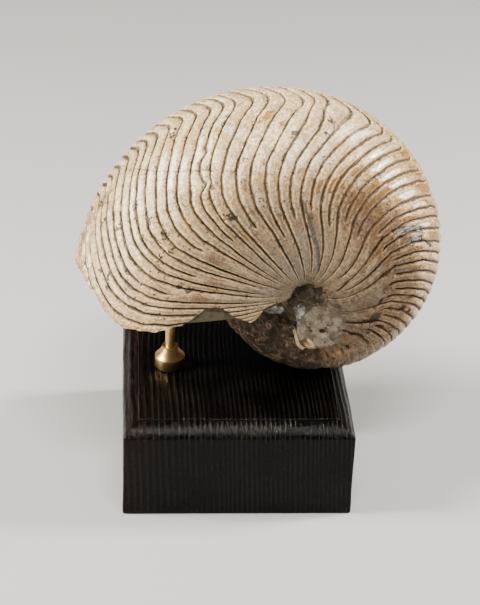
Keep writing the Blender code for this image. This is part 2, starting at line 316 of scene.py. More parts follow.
BLUE_SPOTS = ((22.0, 0.38, 1.5, 0.06), (18.0, 0.4, 1.2, 0.07), (12.5, 0.345, 1.2, 0.03),
              (10.0, 0.56, 3.0, 0.03), (-2.0, 0.55, 7.0, 0.02), (-6.0, 0.42, 2.0, 0.04),
              (24.0, 0.345, 1.0, 0.012))
# Small dark nicks beside the grooves: rib phase and v
NICKS = ((129.2, 0.063), (129.6, 0.034), (99.9, 0.316), (133.0, 0.39), (132.2, 0.404), (147.8, 0.248),
         (148.6, 0.237), (153.2, 0.339), (151.4, 0.358), (139.3, 0.433), (134.7, 0.454), (140.4, 0.352),
         (94.0, 0.482), (110.1, 0.366), (107.8, 0.504), (109.2, 0.484), (147.7, 0.564), (147.2, 0.723),
         (146.7, 0.536), (135.2, 0.332), (140.1, 0.243), (160.6, 0.303), (159.0, 0.3), (87.5, 0.225),
         (87.0, 0.215), (78.8, 0.122), (77.5, 0.202), (169.2, 0.142), (168.8, 0.191), (170.8, 0.237),
         (159.1, 0.058), (156.8, 0.065), (156.2, 0.149), (150.5, 0.183), (164.5, 0.012), (161.5, 0.25))
# Bars of bare pearl between dark cracks: rib phase and v of both ends, half width in degrees
SILVER_BARS = ((18.5, 0.31, 22.8, 0.455, 1.5), (13.6, 0.335, 14.6, 0.395, 1.9),
               (10.2, 0.275, 11.2, 0.305, 0.8))
# Places on the front of the lowest whorl, in millimetres: x, z and their reach in both
PATCH = (34.9, 77.8, 10.2, 10.5)
CRYSTALS = ((14.0, 83.4, 4.4, 3.0), (17.0, 82.6, 2.4, 2.4), (26.0, 85.4, 2.8, 3.4), (25.4, 81.2, 1.4, 2.6))
POCKETS = ((19.8, 82.0, 4.2, 3.4), (22.4, 86.2, 2.6, 2.0))
# Pale curled remains at the edge of the grey patch, as lines through x and z in millimetres
CURLS = (((25.3, 70.6), (26.0, 67.8), (28.0, 65.6), (30.4, 65.7), (31.3, 67.3), (29.6, 68.4)),
         ((30.4, 71.2), (31.9, 69.0), (32.9, 66.6)), ((24.0, 73.6), (24.6, 71.6)))
# Painted places on the worn part: angle on the coil in degrees, v, and their reach in both
OCHRE_SPOTS = ((-63.5, 0.48, 3.6, 0.022), (-61.0, 0.455, 2.4, 0.02), (-84.0, 0.57, 3.0, 0.01),
               (-46.0, 0.695, 5.0, 0.006))
DARK_SPOTS = ((-66.5, 0.64, 3.8, 0.013), (-79.5, 0.651, 3.6, 0.005), (-37.0, 0.633, 6.0, 0.005),
              (-85.0, 0.523, 2.6, 0.014), (-54.5, 0.49, 1.6, 0.024), (-27.0, 0.48, 1.4, 0.03),
              (-10.5, 0.425, 2.2, 0.022), (-20.0, 0.55, 6.0, 0.025), (-33.0, 0.46, 0.8, 0.03),
              (-44.5, 0.585, 1.4, 0.03), (-42.0, 0.47, 0.8, 0.04), (-59.5, 0.47, 0.8, 0.03),
              (-70.5, 0.465, 0.9, 0.035), (-36.0, 0.505, 0.9, 0.012), (-12.0, 0.38, 2.0, 0.014),
              (-97.5, 0.61, 0.8, 0.05), (-5.0, 0.565, 6.0, 0.006), (-67.5, 0.43, 2.0, 0.012),
              (-24.0, 0.722, 1.4, 0.004), (-11.0, 0.765, 2.0, 0.004))
# Hollows on the worn part: the same four numbers and a depth in millimetres
DEEP_SPOTS = ((-66.5, 0.64, 4.0, 0.014, 1.8), (-79.5, 0.651, 3.6, 0.007, 1.0),
              (-38.0, 0.632, 7.0, 0.007, 0.7), (-116.0, 0.66, 17.0, 0.035, 2.8),
              (-54.5, 0.488, 1.6, 0.022, 1.0), (-27.0, 0.48, 1.5, 0.028, 1.2),
              (-36.0, 0.505, 1.2, 0.013, 0.7), (-10.5, 0.425, 2.2, 0.022, 1.5),
              (-17.0, 0.4, 2.0, 0.012, 0.9), (-98.5, 0.6, 1.2, 0.08, 1.2), (-85.0, 0.523, 2.4, 0.014, 1.0),
              (-63.5, 0.48, 2.4, 0.014, 0.6))
# Long shallow furrows on the worn part, as (angle, v) from one end to the other, and reach in degrees
FURROWS = (((25.0, 0.7), (19.6, 0.727), (4.6, 0.777), 2.2),
           ((-21.7, 0.514), (-27.9, 0.564), (-39.3, 0.634), 1.2),
           ((-42.0, 0.432), (-41.0, 0.524), (-48.3, 0.625), 1.1),
           ((-34.4, 0.399), (-33.0, 0.49), (-33.2, 0.542), 1.0))


def fossil_fields():
    """Rib number and share across the rib for each column, v for each row, and the grid's angles."""
    shares = np.array(COLUMN_SHARES)
    count = len(GROOVES) - 1
    rib = np.repeat(np.arange(count), len(shares))
    across = np.tile(shares, count)
    phase = GROOVES[rib] + (GROOVES[rib + 1] - GROOVES[rib]) * across
    rows = row_places()
    v = np.repeat(rows[:, None], len(phase), axis=1)
    phase = np.repeat(phase[None, :], len(rows), axis=0)
    phi_deg = phase + rib_shift(phase, v) + jog(phase, v)
    return rib, across, rows, v, phase, phi_deg


def plane_spots(base, rows):
    """Soft spots laid out in the plane of the coil, in millimetres."""
    total = np.zeros(base.shape[:-1])
    for x, z, reach_x, reach_z in rows:
        offset = ((base[..., 0] / MM - x) / reach_x) ** 2 + ((base[..., 2] / MM - z) / reach_z) ** 2
        total = np.maximum(total, np.exp(-offset))
    return total


def plane_lines(base, lines, reach):
    """Soft lines through points laid out in the plane of the coil, in millimetres."""
    place = base[..., (0, 2)] / MM
    total = np.zeros(base.shape[:-1])
    for line in lines:
        for start, end in zip(line, line[1:]):
            start, along = np.array(start), np.array(end) - np.array(start)
            share = np.clip((place - start) @ along / (along @ along), 0.0, 1.0)
            distance = np.linalg.norm(place - start - share[..., None] * along, axis=-1)
            total = np.maximum(total, np.exp(-(distance / reach) ** 2))
    return total


def rock_masks(base, phi_deg, v, rough, front):
    """Where the front of the lowest whorl is broken to rock, and its smooth grey patch."""
    x, z, reach_x, reach_z = PATCH
    dx = np.abs(base[..., 0] / MM - x) / reach_x
    dz = np.abs(base[..., 2] / MM - z) / reach_z
    inside = 1.0 - (dx ** 2.4 + dz ** 2.4) ** (1.0 / 2.4) + 0.03 * rough
    lowest = front * ease((-10.0 - phi_deg) / 10.0) * ease((phi_deg + 160.0) / 10.0)
    patch = lowest * ease(inside / 0.045 + 0.5)
    broken = ease((-94.0 + 1.2 * rough - phi_deg) / 2.0) * ease((0.735 + rough * 0.02 - v) / 0.03)
    broken = broken * ease((v - 0.08) / 0.08) * (1.0 - patch)
    torn = ease((-64.0 - phi_deg) / 16.0) * ease((0.545 + 0.012 * rough - v) / 0.015)
    torn = torn * ease((v - 0.08) / 0.08) * (1.0 - patch)
    worn = ease((-22.0 - phi_deg) / 30.0) * ease((v - 0.10) / 0.10)
    return front * np.maximum(broken, 0.6 * torn), patch, front * worn


def furrow_depth(phi_deg, v):
    """Strength of the long furrows, 1 along their middle."""
    total = np.zeros_like(v)
    for first, middle, last, reach in FURROWS:
        at, centre = zip(*((place[1], place[0]) for place in (first, middle, last)))
        offset = (phi_deg - np.interp(v, at, centre)) / reach
        inside = ease((v - at[0]) / 0.02) * ease((at[-1] - v) / 0.02)
        total = np.maximum(total, inside * np.exp(-offset ** 2))
    return total


def silver_bars(phase, v):
    """Bare pearl bars and the cracks around them."""
    bare = np.zeros_like(v)
    rim = np.zeros_like(v)
    for phase_a, v_a, phase_b, v_b, half in SILVER_BARS:
        centre = phase_a + (phase_b - phase_a) * (v - v_a) / (v_b - v_a)
        depth = np.minimum((half - np.abs(phase - centre)) / 0.6, np.minimum(v - v_a, v_b - v) / 0.008)
        bare = np.maximum(bare, ease(depth + 0.5))
        rim = np.maximum(rim, np.exp(-depth ** 2))
    return bare, rim


def shell_edge(rows, edge):
    """Angle of the shell's edge at each row, in degrees, with small breaks."""
    at, angle = zip(*edge)
    chips = fractal(np.stack([rows * 40.0, rows * 0.0, rows * 0.0], -1), 1.0, 3, seed=11)
    return np.interp(np.abs(rows), at, angle) + 0.75 * chips


def pit_mask(base, v, coarse, fine):
    """The ragged hollow around the axis, 1 inside it."""
    dx = (base[..., 0] - COIL_X - PIT_X) / PIT_REACH_X
    dz = (base[..., 2] - COIL_Z - PIT_Z) / PIT_REACH_Z
    inside = ease((1.0 - np.hypot(dx, dz) + 0.26 * coarse + 0.22 * fine) / 0.12)
    return inside * ease((np.abs(v) - 0.6) / 0.05)


def rib_profile(across, reach, left, right, young, fine):
    """Height of a rib and depth of its grooves, both from 0 to 1, at a place between two grooves."""
    half = np.minimum(GROOVE_HALF * (1.0 - 0.35 * young) * (1.0 + 0.45 * fine) / reach, 0.15)
    near_left = left * np.clip(1.0 - (across / half) ** 2, 0.0, 1.0) ** 1.5
    near_right = right * np.clip(1.0 - ((1.0 - across) / half) ** 2, 0.0, 1.0) ** 1.5
    lean = across ** (0.80 + 0.50 * young)
    power = 2.0 - 0.3 * young
    dome = 1.0 - left * (1.0 - lean) ** power - right * lean ** power
    return dome, np.maximum(near_left, near_right)


def whorl_mesh():
    """The ribbed whorl as vertices, normals, the edge at the opening and the painted masks."""
    rib, across, rows, v, phase, phi_deg = fossil_fields()
    edge = np.where(rows > 0.0, shell_edge(rows, FRONT_EDGE), shell_edge(rows, BACK_EDGE))
    cut = phi_deg > edge[:, None]
    first = cut.sum(axis=1)
    lip = np.maximum(first - 1, 0)
    row_ids = np.arange(len(rows))
    phi_deg[row_ids, lip] = edge
    across_grid = np.repeat(across[None, :], len(rows), axis=0)
    rib_grid = np.repeat(rib[None, :], len(rows), axis=0)
    across_grid[row_ids, lip] = across[np.minimum(lip + 1, len(across) - 1)]
    rib_grid[row_ids, lip] = rib[np.minimum(lip + 1, len(rib) - 1)]

    phi = np.radians(phi_deg)
    base = coil_point(phi, v)
    front = (v > 0.0).astype(float)
    a = np.abs(v)
    normal = outward(phi, v)
    straight = ease((a - 0.97) / 0.08)[..., None]
    axis = np.stack([np.zeros_like(v), np.where(v > 0.0, -1.0, 1.0), np.zeros_like(v)], -1)
    normal = normal * (1.0 - straight) + axis * straight
    normal /= np.linalg.norm(normal, axis=-1, keepdims=True)
    broad = fractal(base, 0.030, 2, seed=23)
    coarse = fractal(base, 0.010, 3, seed=21)
    fine = fractal(base, 0.0026, 3, seed=22)
    lumps = fractal(base, 0.0055, 2, seed=24)
    broken, patch, worn = rock_masks(base, phi_deg, v, coarse, front)
    low = front * ease((-20.0 - phi_deg) / 10.0) * ease((phi_deg + 165.0) / 10.0)
    curls = low * plane_lines(base, CURLS, 0.90)
    crystals = low * plane_spots(base, CRYSTALS)
    pit = pit_mask(base, v, coarse, fine)
    furrow = furrow_depth(phi_deg, v)

    spacing = np.radians(np.abs(GROOVES[rib_grid + 1] - GROOVES[rib_grid]))
    reach = spacing * np.hypot(base[..., 0] - COIL_X, base[..., 2] - COIL_Z) / MM
    reach = np.maximum(reach, 1.0)
    left = 1.0 - ease((a - GROOVE_ENDS[rib_grid]) / 0.05)
    right = 1.0 - ease((a - GROOVE_ENDS[rib_grid + 1]) / 0.05)
    young = ease((76.0 - phase) / 30.0)
    dome, groove = rib_profile(across_grid, reach, left, right, young, fine)
    size = (coil_radius(phi) / RADIUS_UP) ** 0.7 * ease(reach / 3.2)
    height = RIB_DOME + YOUNG_DOME * young * ease((0.75 - a) / 0.2)
    depth = GROOVE_DEPTH * (1.0 - 0.4 * young)
    eroded = front * (0.20 + 0.80 * young) * ease((a - 0.30) / 0.12) * ease((0.64 - a) / 0.10)
    lost = worn * (0.30 + 0.55 * ease((a - 0.48) / 0.07))
    kept = (1.0 - broken) * (1.0 - patch) * (1.0 - lost) * (1.0 - pit)
    relief = kept * size * (height * (dome - 0.75) * (1.0 + 0.30 * broad + 0.15 * coarse) - depth * groove)
    relief += 0.12 * broad + (0.08 * coarse + 0.06 * fine) * (1.0 - patch)
    relief += 0.22 * fine * ease((0.16 - a) / 0.10) * kept
    relief -= eroded * np.clip(fine + 0.45 * coarse - 0.15, 0.0, 1.0)
    relief -= broken * (1.3 - 0.8 * coarse - 0.9 * lumps - 0.4 * fine)
    relief += worn * (1.0 - patch) * (1.0 - broken) * (0.35 * coarse + 0.25 * lumps + 0.20 * fine - 0.3)
    bare, cracked = silver_bars(phase, v)
    relief -= 0.55 * furrow + 0.35 * bare + 0.40 * cracked
    relief += patch * (0.25 + 0.10 * coarse) + 0.9 * curls + crystals * (0.5 + 0.5 * fine)
    for centre, at, reach_phi, reach_v, depth in DEEP_SPOTS:
        relief -= depth * blob(phi_deg, v, centre, at, reach_phi, reach_v)
    place = base + normal * relief[..., None] * MM
    rough_floor = NAVEL_OFFSET + (PIT_FLOOR + 0.9 * lumps + 0.5 * fine) * MM
    floor = COIL_Y - np.where(v > 0.0, 1.0, -1.0) * rough_floor
    place[..., 1] = place[..., 1] * (1.0 - pit) + floor * pit
    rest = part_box("wooden_base")[1][2] + REST_GAP
    place[..., 2] = np.maximum(place[..., 2], rest)

    wide = np.maximum(reach, 4.2)
    from_left = across_grid * wide + OFF_GROOVE * (1.0 - left)
    from_right = (1.0 - across_grid) * wide + OFF_GROOVE * (1.0 - right)
    gap = np.clip(np.minimum(from_left, from_right) + OFF_GROOVE * (1.0 - kept), 0.0, OFF_GROOVE)
    tint = np.random.default_rng(SEED).uniform(-1.0, 1.0, len(GROOVES) + 1)[rib_grid]
    lip_near = np.radians(edge[:, None] - phi_deg) * coil_radius(phi) / MM
    masks = {
        "gap": gap,
        "tint": tint,
        "lean": across_grid,
        "phase": phase,
        "across": v,
        "crest": ease((dome * (1.0 + 0.3 * young) - 0.26) / 0.22) * kept,
        "rock": broken,
        "pit": np.maximum(pit, low * plane_spots(base, POCKETS)),
        "patch": patch,
        "rim": np.zeros_like(v),
        "lip": np.clip(1.0 - lip_near / 9.0, 0.0, 1.0),
        "worn": worn * (1.0 - patch),
        "eroded": eroded,
        "rust": spots(phase, v, RUST_SPOTS),
        "brown": spots(phase, v, BROWN_SPOTS),
        "pearl": spots(phase, v, PEARL_HIGHLIGHT_SPOTS),
        "blue": spots(phase, v, BLUE_SPOTS),
        "silver": bare,
        "scar": cracked,
        "curl": curls,
        "crystal": crystals,
        "ochre": spots(phi_deg, v, OCHRE_SPOTS),
        "dark": np.maximum(spots(phi_deg, v, DARK_SPOTS), furrow),
        "nick": spots(phase, v, [(at, across_at, 1.9, 0.0140) for at, across_at in NICKS]),
    }
    return rows, place, normal, lip, phi_deg, edge, masks


def grid_faces(owner, keep, start, end):
    """Faces between rows start and end of a grid whose corners may share a vertex."""
    faces = []
    for r in range(start, end):
        low = owner[r]
        high = owner[r + 1]
        for c in range(owner.shape[1] - 1):
            if not (keep[r, c + 1] or keep[r + 1, c + 1]):
                continue
            corners = list(dict.fromkeys((low[c], high[c], high[c + 1], low[c + 1])))
            if len(corners) > 2:
                faces.append(corners)
    return faces


def mesh_object(name, points, faces, masks=None, normals=None):
    """Smooth mesh object, with its loose points dropped and its masks as attributes."""
    used = np.unique(np.concatenate([np.array(face) for face in faces]))
    number = np.full(len(points), -1)
    number[used] = np.arange(len(used))
    mesh = bpy.data.meshes.new(name)
    mesh.from_pydata(points[used].tolist(), [], [[int(number[i]) for i in face] for face in faces])
    for key, values in (masks or {}).items():
        layer = mesh.attributes.new(key, "FLOAT", "POINT")
        layer.data.foreach_set("value", values[used].astype(np.float32))
    mesh.shade_smooth()
    mesh.update()
    if normals is not None:
        mesh.normals_split_custom_set_from_vertices(normals[used])
    obj = bpy.data.objects.new(name, mesh)
    bpy.context.collection.objects.link(obj)
    return obj


def smooth_normals(points, faces):
    """Vertex normals of the whole surface, so that its two pieces meet without a visible line."""
    mesh = bpy.data.meshes.new("whole")
    mesh.from_pydata(points.tolist(), [], [[int(i) for i in face] for face in faces])
    mesh.update()
    normals = np.empty(len(points) * 3, np.float32)
    mesh.vertex_normals.foreach_get("vector", normals)
    bpy.data.meshes.remove(mesh)
    return normals.reshape(-1, 3)


def build_whorl():
    """The fossil's ribbed surface, front and back, with a thin broken rim at the opening."""
    v_rows, place, normal, lip, phi_deg, edge, masks = whorl_mesh()
    rows, columns = place.shape[:2]
    owner = np.arange(rows * columns).reshape(rows, columns)
    keep = (np.arange(columns)[None, :] > lip[:, None]) & (phi_deg > edge[:, None] - COIL_KEPT)
    for r in range(rows):
        owner[r, :lip[r]] = owner[r, lip[r]]
    row_ids = np.arange(rows)
    points = [place.reshape(-1, 3)]
    extra = {key: [values.reshape(-1)] for key, values in masks.items()}
    strips = [owner[row_ids, lip]]
    start = rows * columns
    for depth in (0.25, 0.75, SHELL_THICKNESS, SHELL_THICKNESS + 0.6):
        points.append(place[row_ids, lip] - normal[row_ids, lip] * depth * MM)
        for key, values in masks.items():
            fixed = {"gap": OFF_GROOVE, "rim": 1.0}.get(key)
            extra[key].append(values[row_ids, lip] if fixed is None else np.full(rows, fixed))
        strips.append(start + row_ids)
        start += rows
    points = np.concatenate(points)
    masks = {key: np.concatenate(parts) for key, parts in extra.items()}
    seam = int(np.searchsorted(v_rows, SEAM))
    faces = {}
    for name, first, last in (("fossil_shell_back", 0, seam), ("fossil_shell_front", seam, rows - 1)):
        faces[name] = grid_faces(owner, keep, first, last)
        for outer, inner in zip(strips, strips[1:]):
            for r in range(first, last):
                faces[name].append([int(outer[r]), int(outer[r + 1]), int(inner[r + 1]), int(inner[r])])
    normals = smooth_normals(points, sum(faces.values(), []))
    return [mesh_object(name, points, part, masks, normals) for name, part in faces.items()]


def build_mouth():
    """Rock that fills the opening, seen in the chipped arch and from below."""
    rows = np.concatenate([-np.linspace(MOUTH_SIDE, 0.0, 60)[:-1], np.linspace(0.0, MOUTH_SIDE, 90)])
    at, angle = zip(*ROCK_EDGE)
    end = np.interp(np.abs(rows), at, angle)
    lines = []
    for back in np.linspace(MOUTH_TUCK, MOUTH_BEND, TUCK_LINES):
        phi = np.radians(end - back)
        lines.append(coil_point(phi, rows) - outward(phi, rows) * FILL_DEPTH * MM)
    rounding = outward(np.radians(end - MOUTH_BEND), rows)
    lines.append(coil_point(np.radians(end), rows) - rounding * (FILL_DEPTH + 0.4) * MM)
    outer = coil_point(np.radians(end + 0.1), rows) - rounding * (FILL_DEPTH + 1.2) * MM
    inner_phi = np.radians(end - 360.0 + 1.0)
    inner = coil_point(inner_phi, rows) - outward(inner_phi, rows) * 2.0 * MM
    level = ease((0.26 - np.abs(rows)) / 0.08)
    for share in np.linspace(0.0, 1.0, MOUTH_LINES):
        line = outer + (inner - outer) * share
        flat = level * ease((share - 0.30) / 0.2) * ease((0.97 - share) / 0.1)
        line[:, 2] += 0.0012 * ease((1.0 - np.abs(rows)) / 0.3) * math.sin(math.pi * share)
        line[:, 2] = line[:, 2] * (1.0 - flat) + MOUTH_Z * flat
        lines.append(line)
    points = np.stack(lines, 1)
    post = np.array(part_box("brass_rod")).mean(axis=0)
    away = np.hypot(points[..., 0] - post[0], points[..., 1] - post[1])
    calm = ease((away - 0.003) / 0.004)
    lump = fractal(points, 0.012, 3, seed=31) * 0.7 + fractal(points, 0.003, 2, seed=32) * 0.25
    points[..., 2] += lump * calm * MM * ease((np.arange(points.shape[1]) - TUCK_LINES) / 6.0)[None, :]
    shape = points.shape[:2]
    owner = np.arange(shape[0] * shape[1]).reshape(shape)
    faces = [[int(i) for i in face] for face in grid_faces(owner, np.ones(shape, bool), 0, shape[0] - 1)]
    return mesh_object("fossil_mouth_rock", points.reshape(-1, 3), faces)


NOISE_ROUGHNESS = 0.55


class Value:
    """Output of a node, which can be added, multiplied and shaped like a number."""

    def __init__(self, shader, socket):
        self.shader = shader
        self.socket = socket

    def __add__(self, other):
        return self.shader.math("ADD", self, other)

    def __sub__(self, other):
        return self.shader.math("SUBTRACT", self, other)

    def __mul__(self, other):
        return self.shader.math("MULTIPLY", self, other)

    def __abs__(self):
        return self.shader.math("ABSOLUTE", self)

    def step(self, low, high):
        """Smooth step from 0 at low to 1 at high."""
        inputs = {"Value": self, "From Min": low, "From Max": high}
        return self.shader.node("MapRange", inputs, interpolation_type="SMOOTHSTEP")

    def band(self, start, full, end, last):
        """Smooth band: 0 at start and end, 1 from full to last."""
        return self.step(start, full) * self.step(end, last)

    def stir(self, noise, amount):
        """The value moved up and down by a noise around 0.5."""
        return self + (noise - 0.5) * amount

    def blend(self, a, b):
        """Number a where the value is 0, and b where it is 1."""
        return self.shader.node("Mix", {0: self, 2: a, 3: b})


class Shader:
    """Short names for building the nodes of one material."""

    def __init__(self, name):
        self.material = bpy.data.materials.new(name)
        self.material.use_nodes = True
        self.tree = self.material.node_tree
        self.place = self.node("TexCoord", {}, "Object")

    def node(self, kind, inputs, output=0, **settings):
        """New node with its settings and inputs, as the value of one of its outputs."""
        node = self.tree.nodes.new("ShaderNode" + kind)
        for key, value in settings.items():
            setattr(node, key, value)
        for key, value in inputs.items():
            self.put(node.inputs[key], value)
        return Value(self, node.outputs[output])

    def put(self, socket, value):
        """Link a value or set a number or colour."""
        if isinstance(value, Value):
            self.tree.links.new(value.socket, socket)
        elif isinstance(value, tuple) and socket.type == "RGBA":
            socket.default_value = (*value, 1.0)
        else:
            socket.default_value = value

    def math(self, operation, a, b=0.0):
        return self.node("Math", {0: a, 1: b}, operation=operation)

    def most(self, a, b):
        return self.math("MAXIMUM", a, b)

    def mix(self, factor, a, b, blend="MIX"):
        """Colour a where the factor is 0, and b where it is 1."""
        return self.node("Mix", {0: factor, 6: a, 7: b}, 2, data_type="RGBA", blend_type=blend)

    def coat(self, tint, cover):
        """Lay a tint over the colour so far."""
        self.colour = self.mix(cover, self.colour, tint)

    def layers(self, colour, *rows):
        """Colour under several tints, each laid on as its value passes from low to high."""
        for tint, value, low, high, amount in rows:
            colour = self.mix(value.step(low, high) * amount, colour, tint)
        return colour

    def attribute(self, name):
        return self.node("Attribute", {}, "Fac", attribute_name=name)

    def vector(self, x, y, z):
        return self.node("CombineXYZ", {0: x, 1: y, 2: z})

    def stretched(self, x, y, z):
        """Object coordinates scaled along each axis."""
        return self.node("Mapping", {"Vector": self.place, "Scale": (x, y, z)})

    def noise(self, size, detail=3.0, vector=None):
        """Cloudy noise around 0.5, with features about size metres across."""
        inputs = {"Vector": vector or self.place, "Scale": 1.0 / size, "Detail": detail}
        return self.node("TexNoise", {**inputs, "Roughness": NOISE_ROUGHNESS})

    def cells(self, size, output, vector, feature="F1"):
        """Cell pattern: the distance to a centre or an edge, or a colour for each cell."""
        return self.node("TexVoronoi", {"Vector": vector, "Scale": 1.0 / size}, output, feature=feature)

    def warp(self, size, amount):
        """Object coordinates pushed about by noise, so that patterns lose their straight edges."""
        push = self.node("TexNoise", {"Vector": self.place, "Scale": 1.0 / size, "Detail": 2.0}, "Color")
        inputs = {0: push, 1: (amount, amount, amount), 2: self.place}
        return self.node("VectorMath", inputs, operation="MULTIPLY_ADD")

    def bump(self, height, distance, strength):
        return self.node("Bump", {"Strength": strength, "Distance": distance, "Height": height})

    def finish(self, colour, roughness, **values):
        """Set the shader's inputs by name, with _ for a space."""
        inputs = self.tree.nodes["Principled BSDF"].inputs
        for name, value in {"Base_Color": colour, "Roughness": roughness, **values}.items():
            self.put(inputs[name.replace("_", " ")], value)
        return self.material


# Colours, linear
CREAM = (0.78, 0.56, 0.31)
PALE = (0.97, 0.79, 0.51)
TAN = (0.5, 0.3, 0.135)
UMBER = (0.34, 0.19, 0.075)
HALO = (0.285, 0.205, 0.108)
BROWN = (0.175, 0.092, 0.038)
RUST = (0.27, 0.125, 0.012)
ORANGE = (0.37, 0.195, 0.03)
ROSE = (0.34, 0.195, 0.105)
DRAB = (0.215, 0.14, 0.07)
GREY = (0.195, 0.15, 0.1)
# Pearl white, used for bare pearl and as painted highlight on the crests
PEARL_AND_HIGHLIGHT = (0.97, 0.87, 0.71)
BLUE = (0.17, 0.185, 0.185)
SILVER = (0.26, 0.245, 0.25)
GROOVE = (0.082, 0.051, 0.023)
OLIVE = (0.078, 0.066, 0.036)
ROCK = (0.026, 0.015, 0.006)
ROCK_LIGHT = (0.14, 0.086, 0.04)
# Pit rock, darkened as painted shade
PIT_SHADED_ROCK = (0.032, 0.021, 0.008)
PIT_SHADED_ROCK_PALE = (0.105, 0.072, 0.032)
CRYSTAL = (0.52, 0.49, 0.45)
CRYSTAL_DARK = (0.14, 0.125, 0.105)
OCHRE = (0.34, 0.17, 0.05)
MATRIX = (0.085, 0.07, 0.038)
PINKISH = (0.38, 0.215, 0.112)
MUSTARD = (0.31, 0.215, 0.062)
FLAKE = (0.66, 0.58, 0.47)
SAND = (0.42, 0.31, 0.155)
HONEY = (0.54, 0.3, 0.125)
LIP_BROWN = (0.27, 0.155, 0.062)
TAUPE = (0.185, 0.14, 0.092)
TAUPE_LIGHT = (0.3, 0.225, 0.145)
SMEAR = (0.105, 0.055, 0.024)
MOTTLE = (0.07, 0.037, 0.016)
# Painted shade between the young ribs
VALLEY_SHADE = (0.125, 0.062, 0.026)
DIRT = (0.085, 0.053, 0.028)
SOIL = (0.04, 0.033, 0.018)
NICK = (0.04, 0.025, 0.011)
VEIN_DARK = (0.04, 0.04, 0.032)
VEIN_LIGHT = (0.11, 0.118, 0.11)
SCAR = (0.045, 0.038, 0.026)
PATCH_DARK = (0.115, 0.084, 0.054)
PATCH_LIGHT = (0.285, 0.232, 0.168)
PATCH_STREAK = (0.13, 0.09, 0.055)
PATCH_PALE = (0.36, 0.3, 0.22)
PATCH_SPOT = (0.075, 0.048, 0.026)
STONE_GRAIN = (0.09, 0.054, 0.026)
SWIRL = (0.22, 0.155, 0.095)
CURL = (0.62, 0.48, 0.31)
WOOD_SOFT = (0.0005, 0.0004, 0.0004)
WOOD_HARD = (0.0068, 0.0064, 0.0064)
WOOD_CLOUD = (0.005, 0.0028, 0.0022)
WOOD_RED = (0.022, 0.007, 0.004)
WOOD_PORE = (0.0005, 0.0005, 0.0005)
BRASS = (0.68, 0.46, 0.19)
BRASS_TARNISH = (0.5, 0.32, 0.125)
FLOOR_GREY = (0.37, 0.385, 0.4)
SURROUND = (0.98, 0.98, 1.0)


# Hairlines across the ribs: half width in v, then rib phase and v of both ends
HAIRLINE = 0.0024
CRACKS_ACROSS = ((147.8, 0.047, 134.6, 0.169), (134.6, 0.169, 124.8, 0.244), (124.8, 0.244, 110.0, 0.318),
                 (124.0, 0.545, 116.0, 0.55), (112.0, 0.495, 99.0, 0.485), (108.0, 0.597, 103.5, 0.592),
                 (111.0, 0.14, 106.0, 0.155), (47.0, 0.54, 42.0, 0.538))


def spot(s, name, low, high, amount=0.55):
    """Painted place with a ragged edge."""
    return s.attribute(name).stir(s.medium, amount).stir(s.small, amount * 0.8).step(low, high)


def shell_fields(s):
    """Noises and masks that the layers of colour share."""
    s.medium = s.noise(0.009, 4.0)
    s.small = s.noise(0.0024, 4.0)
    s.grit = s.noise(0.0009)
    s.phase, s.side, s.gap, s.crest, s.worn, s.lean = (
        s.attribute(name) for name in ("phase", "across", "gap", "crest", "worn", "lean"))
    s.across = abs(s.side)
    s.growth = s.noise(0.35, 3.0, s.vector(s.phase * 0.9, s.side * 6.0, 0.0))
    s.streak = s.noise(1.0, 4.0, s.vector(s.phase * 0.45, s.side * 9.0, 3.0))
    s.dash = s.noise(1.0, 3.0, s.vector(s.phase * 1.1, s.side * 22.0, 7.0))


def old_ribs(s):
    """Cream ribs with tan, pink, mustard and grey flakes, crests paled as painted highlight, a shaded side
    and a few brown streaks.
    """
    large = s.noise(0.03)
    s.colour = s.mix(large.step(0.36, 0.66), CREAM, PALE)
    s.coat(PALE, s.across.band(0.06, 0.16, 0.46, 0.3) * 0.4)
    s.colour = s.layers(s.colour, (TAN, s.streak, 0.44, 0.66, 0.6), (TAN, s.medium, 0.5, 0.66, 0.6),
                        (UMBER, s.dash, 0.52, 0.68, 0.45), (TAN, s.growth, 0.52, 0.75, 0.4),
                        (BROWN, s.small, 0.53, 0.7, 0.5), (BROWN, s.grit, 0.55, 0.7, 0.45),
                        (TAN, s.attribute("tint"), -0.1, 1.0, 0.45))
    # Crests paled with PALE: painted highlight along the middle of each rib.
    s.bright = s.crest * s.dash.step(0.54, 0.4)
    s.coat(PALE, s.bright * 0.5)
    zone = s.phase.band(134.0, 118.0, 48.0, 66.0)
    zone = (zone * s.across.step(0.06, 0.14)).blend(0.3, 1.0)
    pinkish = zone * s.noise(0.011).step(0.44, 0.62)
    s.coat(PINKISH, pinkish * 0.62)
    olive = zone * s.noise(0.0066, 2.0, s.warp(0.009, 0.004)).step(0.54, 0.66)
    s.coat(MUSTARD, olive * 0.62)
    flakes = zone * s.noise(0.0088, 1.0, s.warp(0.004, 0.003)).step(0.595, 0.62)
    s.coat(FLAKE, flakes * 0.8)
    shadow = s.lean.step(0.62, 0.96) * (s.medium + s.small * 0.4).step(0.56, 0.74)
    s.coat(HALO, shadow * 0.55)
    side_shade = s.crest.step(0.85, 0.1) * (s.medium + s.small * 0.5).step(0.62, 0.8)
    s.coat(UMBER, side_shade * 0.55)


def flank_colours(s):
    """Drab flank towards the pit, a tan band above it, and brown soil near the opening."""
    middle = s.across.stir(s.medium, 0.16)
    s.coat(TAN, middle.band(0.33, 0.44, 0.64, 0.52) * 0.45)
    # The drab stays lighter on the crests, which keeps the painted highlight there.
    s.coat(DRAB, middle.step(0.38, 0.62) * s.bright.blend(0.86, 0.7))
    s.coat(GREY, middle.step(0.6, 0.8) * 0.68)
    tinge = s.noise(0.0052).step(0.5, 0.6) * s.across.step(0.6, 0.45)
    s.coat(SAND, tinge * 0.45)
    stain = s.phase.step(150.0, 171.0) * s.across.step(0.34, 0.12).blend(0.45, 1.0)
    stain = stain * s.small.stir(s.medium, 1.2).step(0.44, 0.54)
    s.coat(UMBER, stain * 0.85)


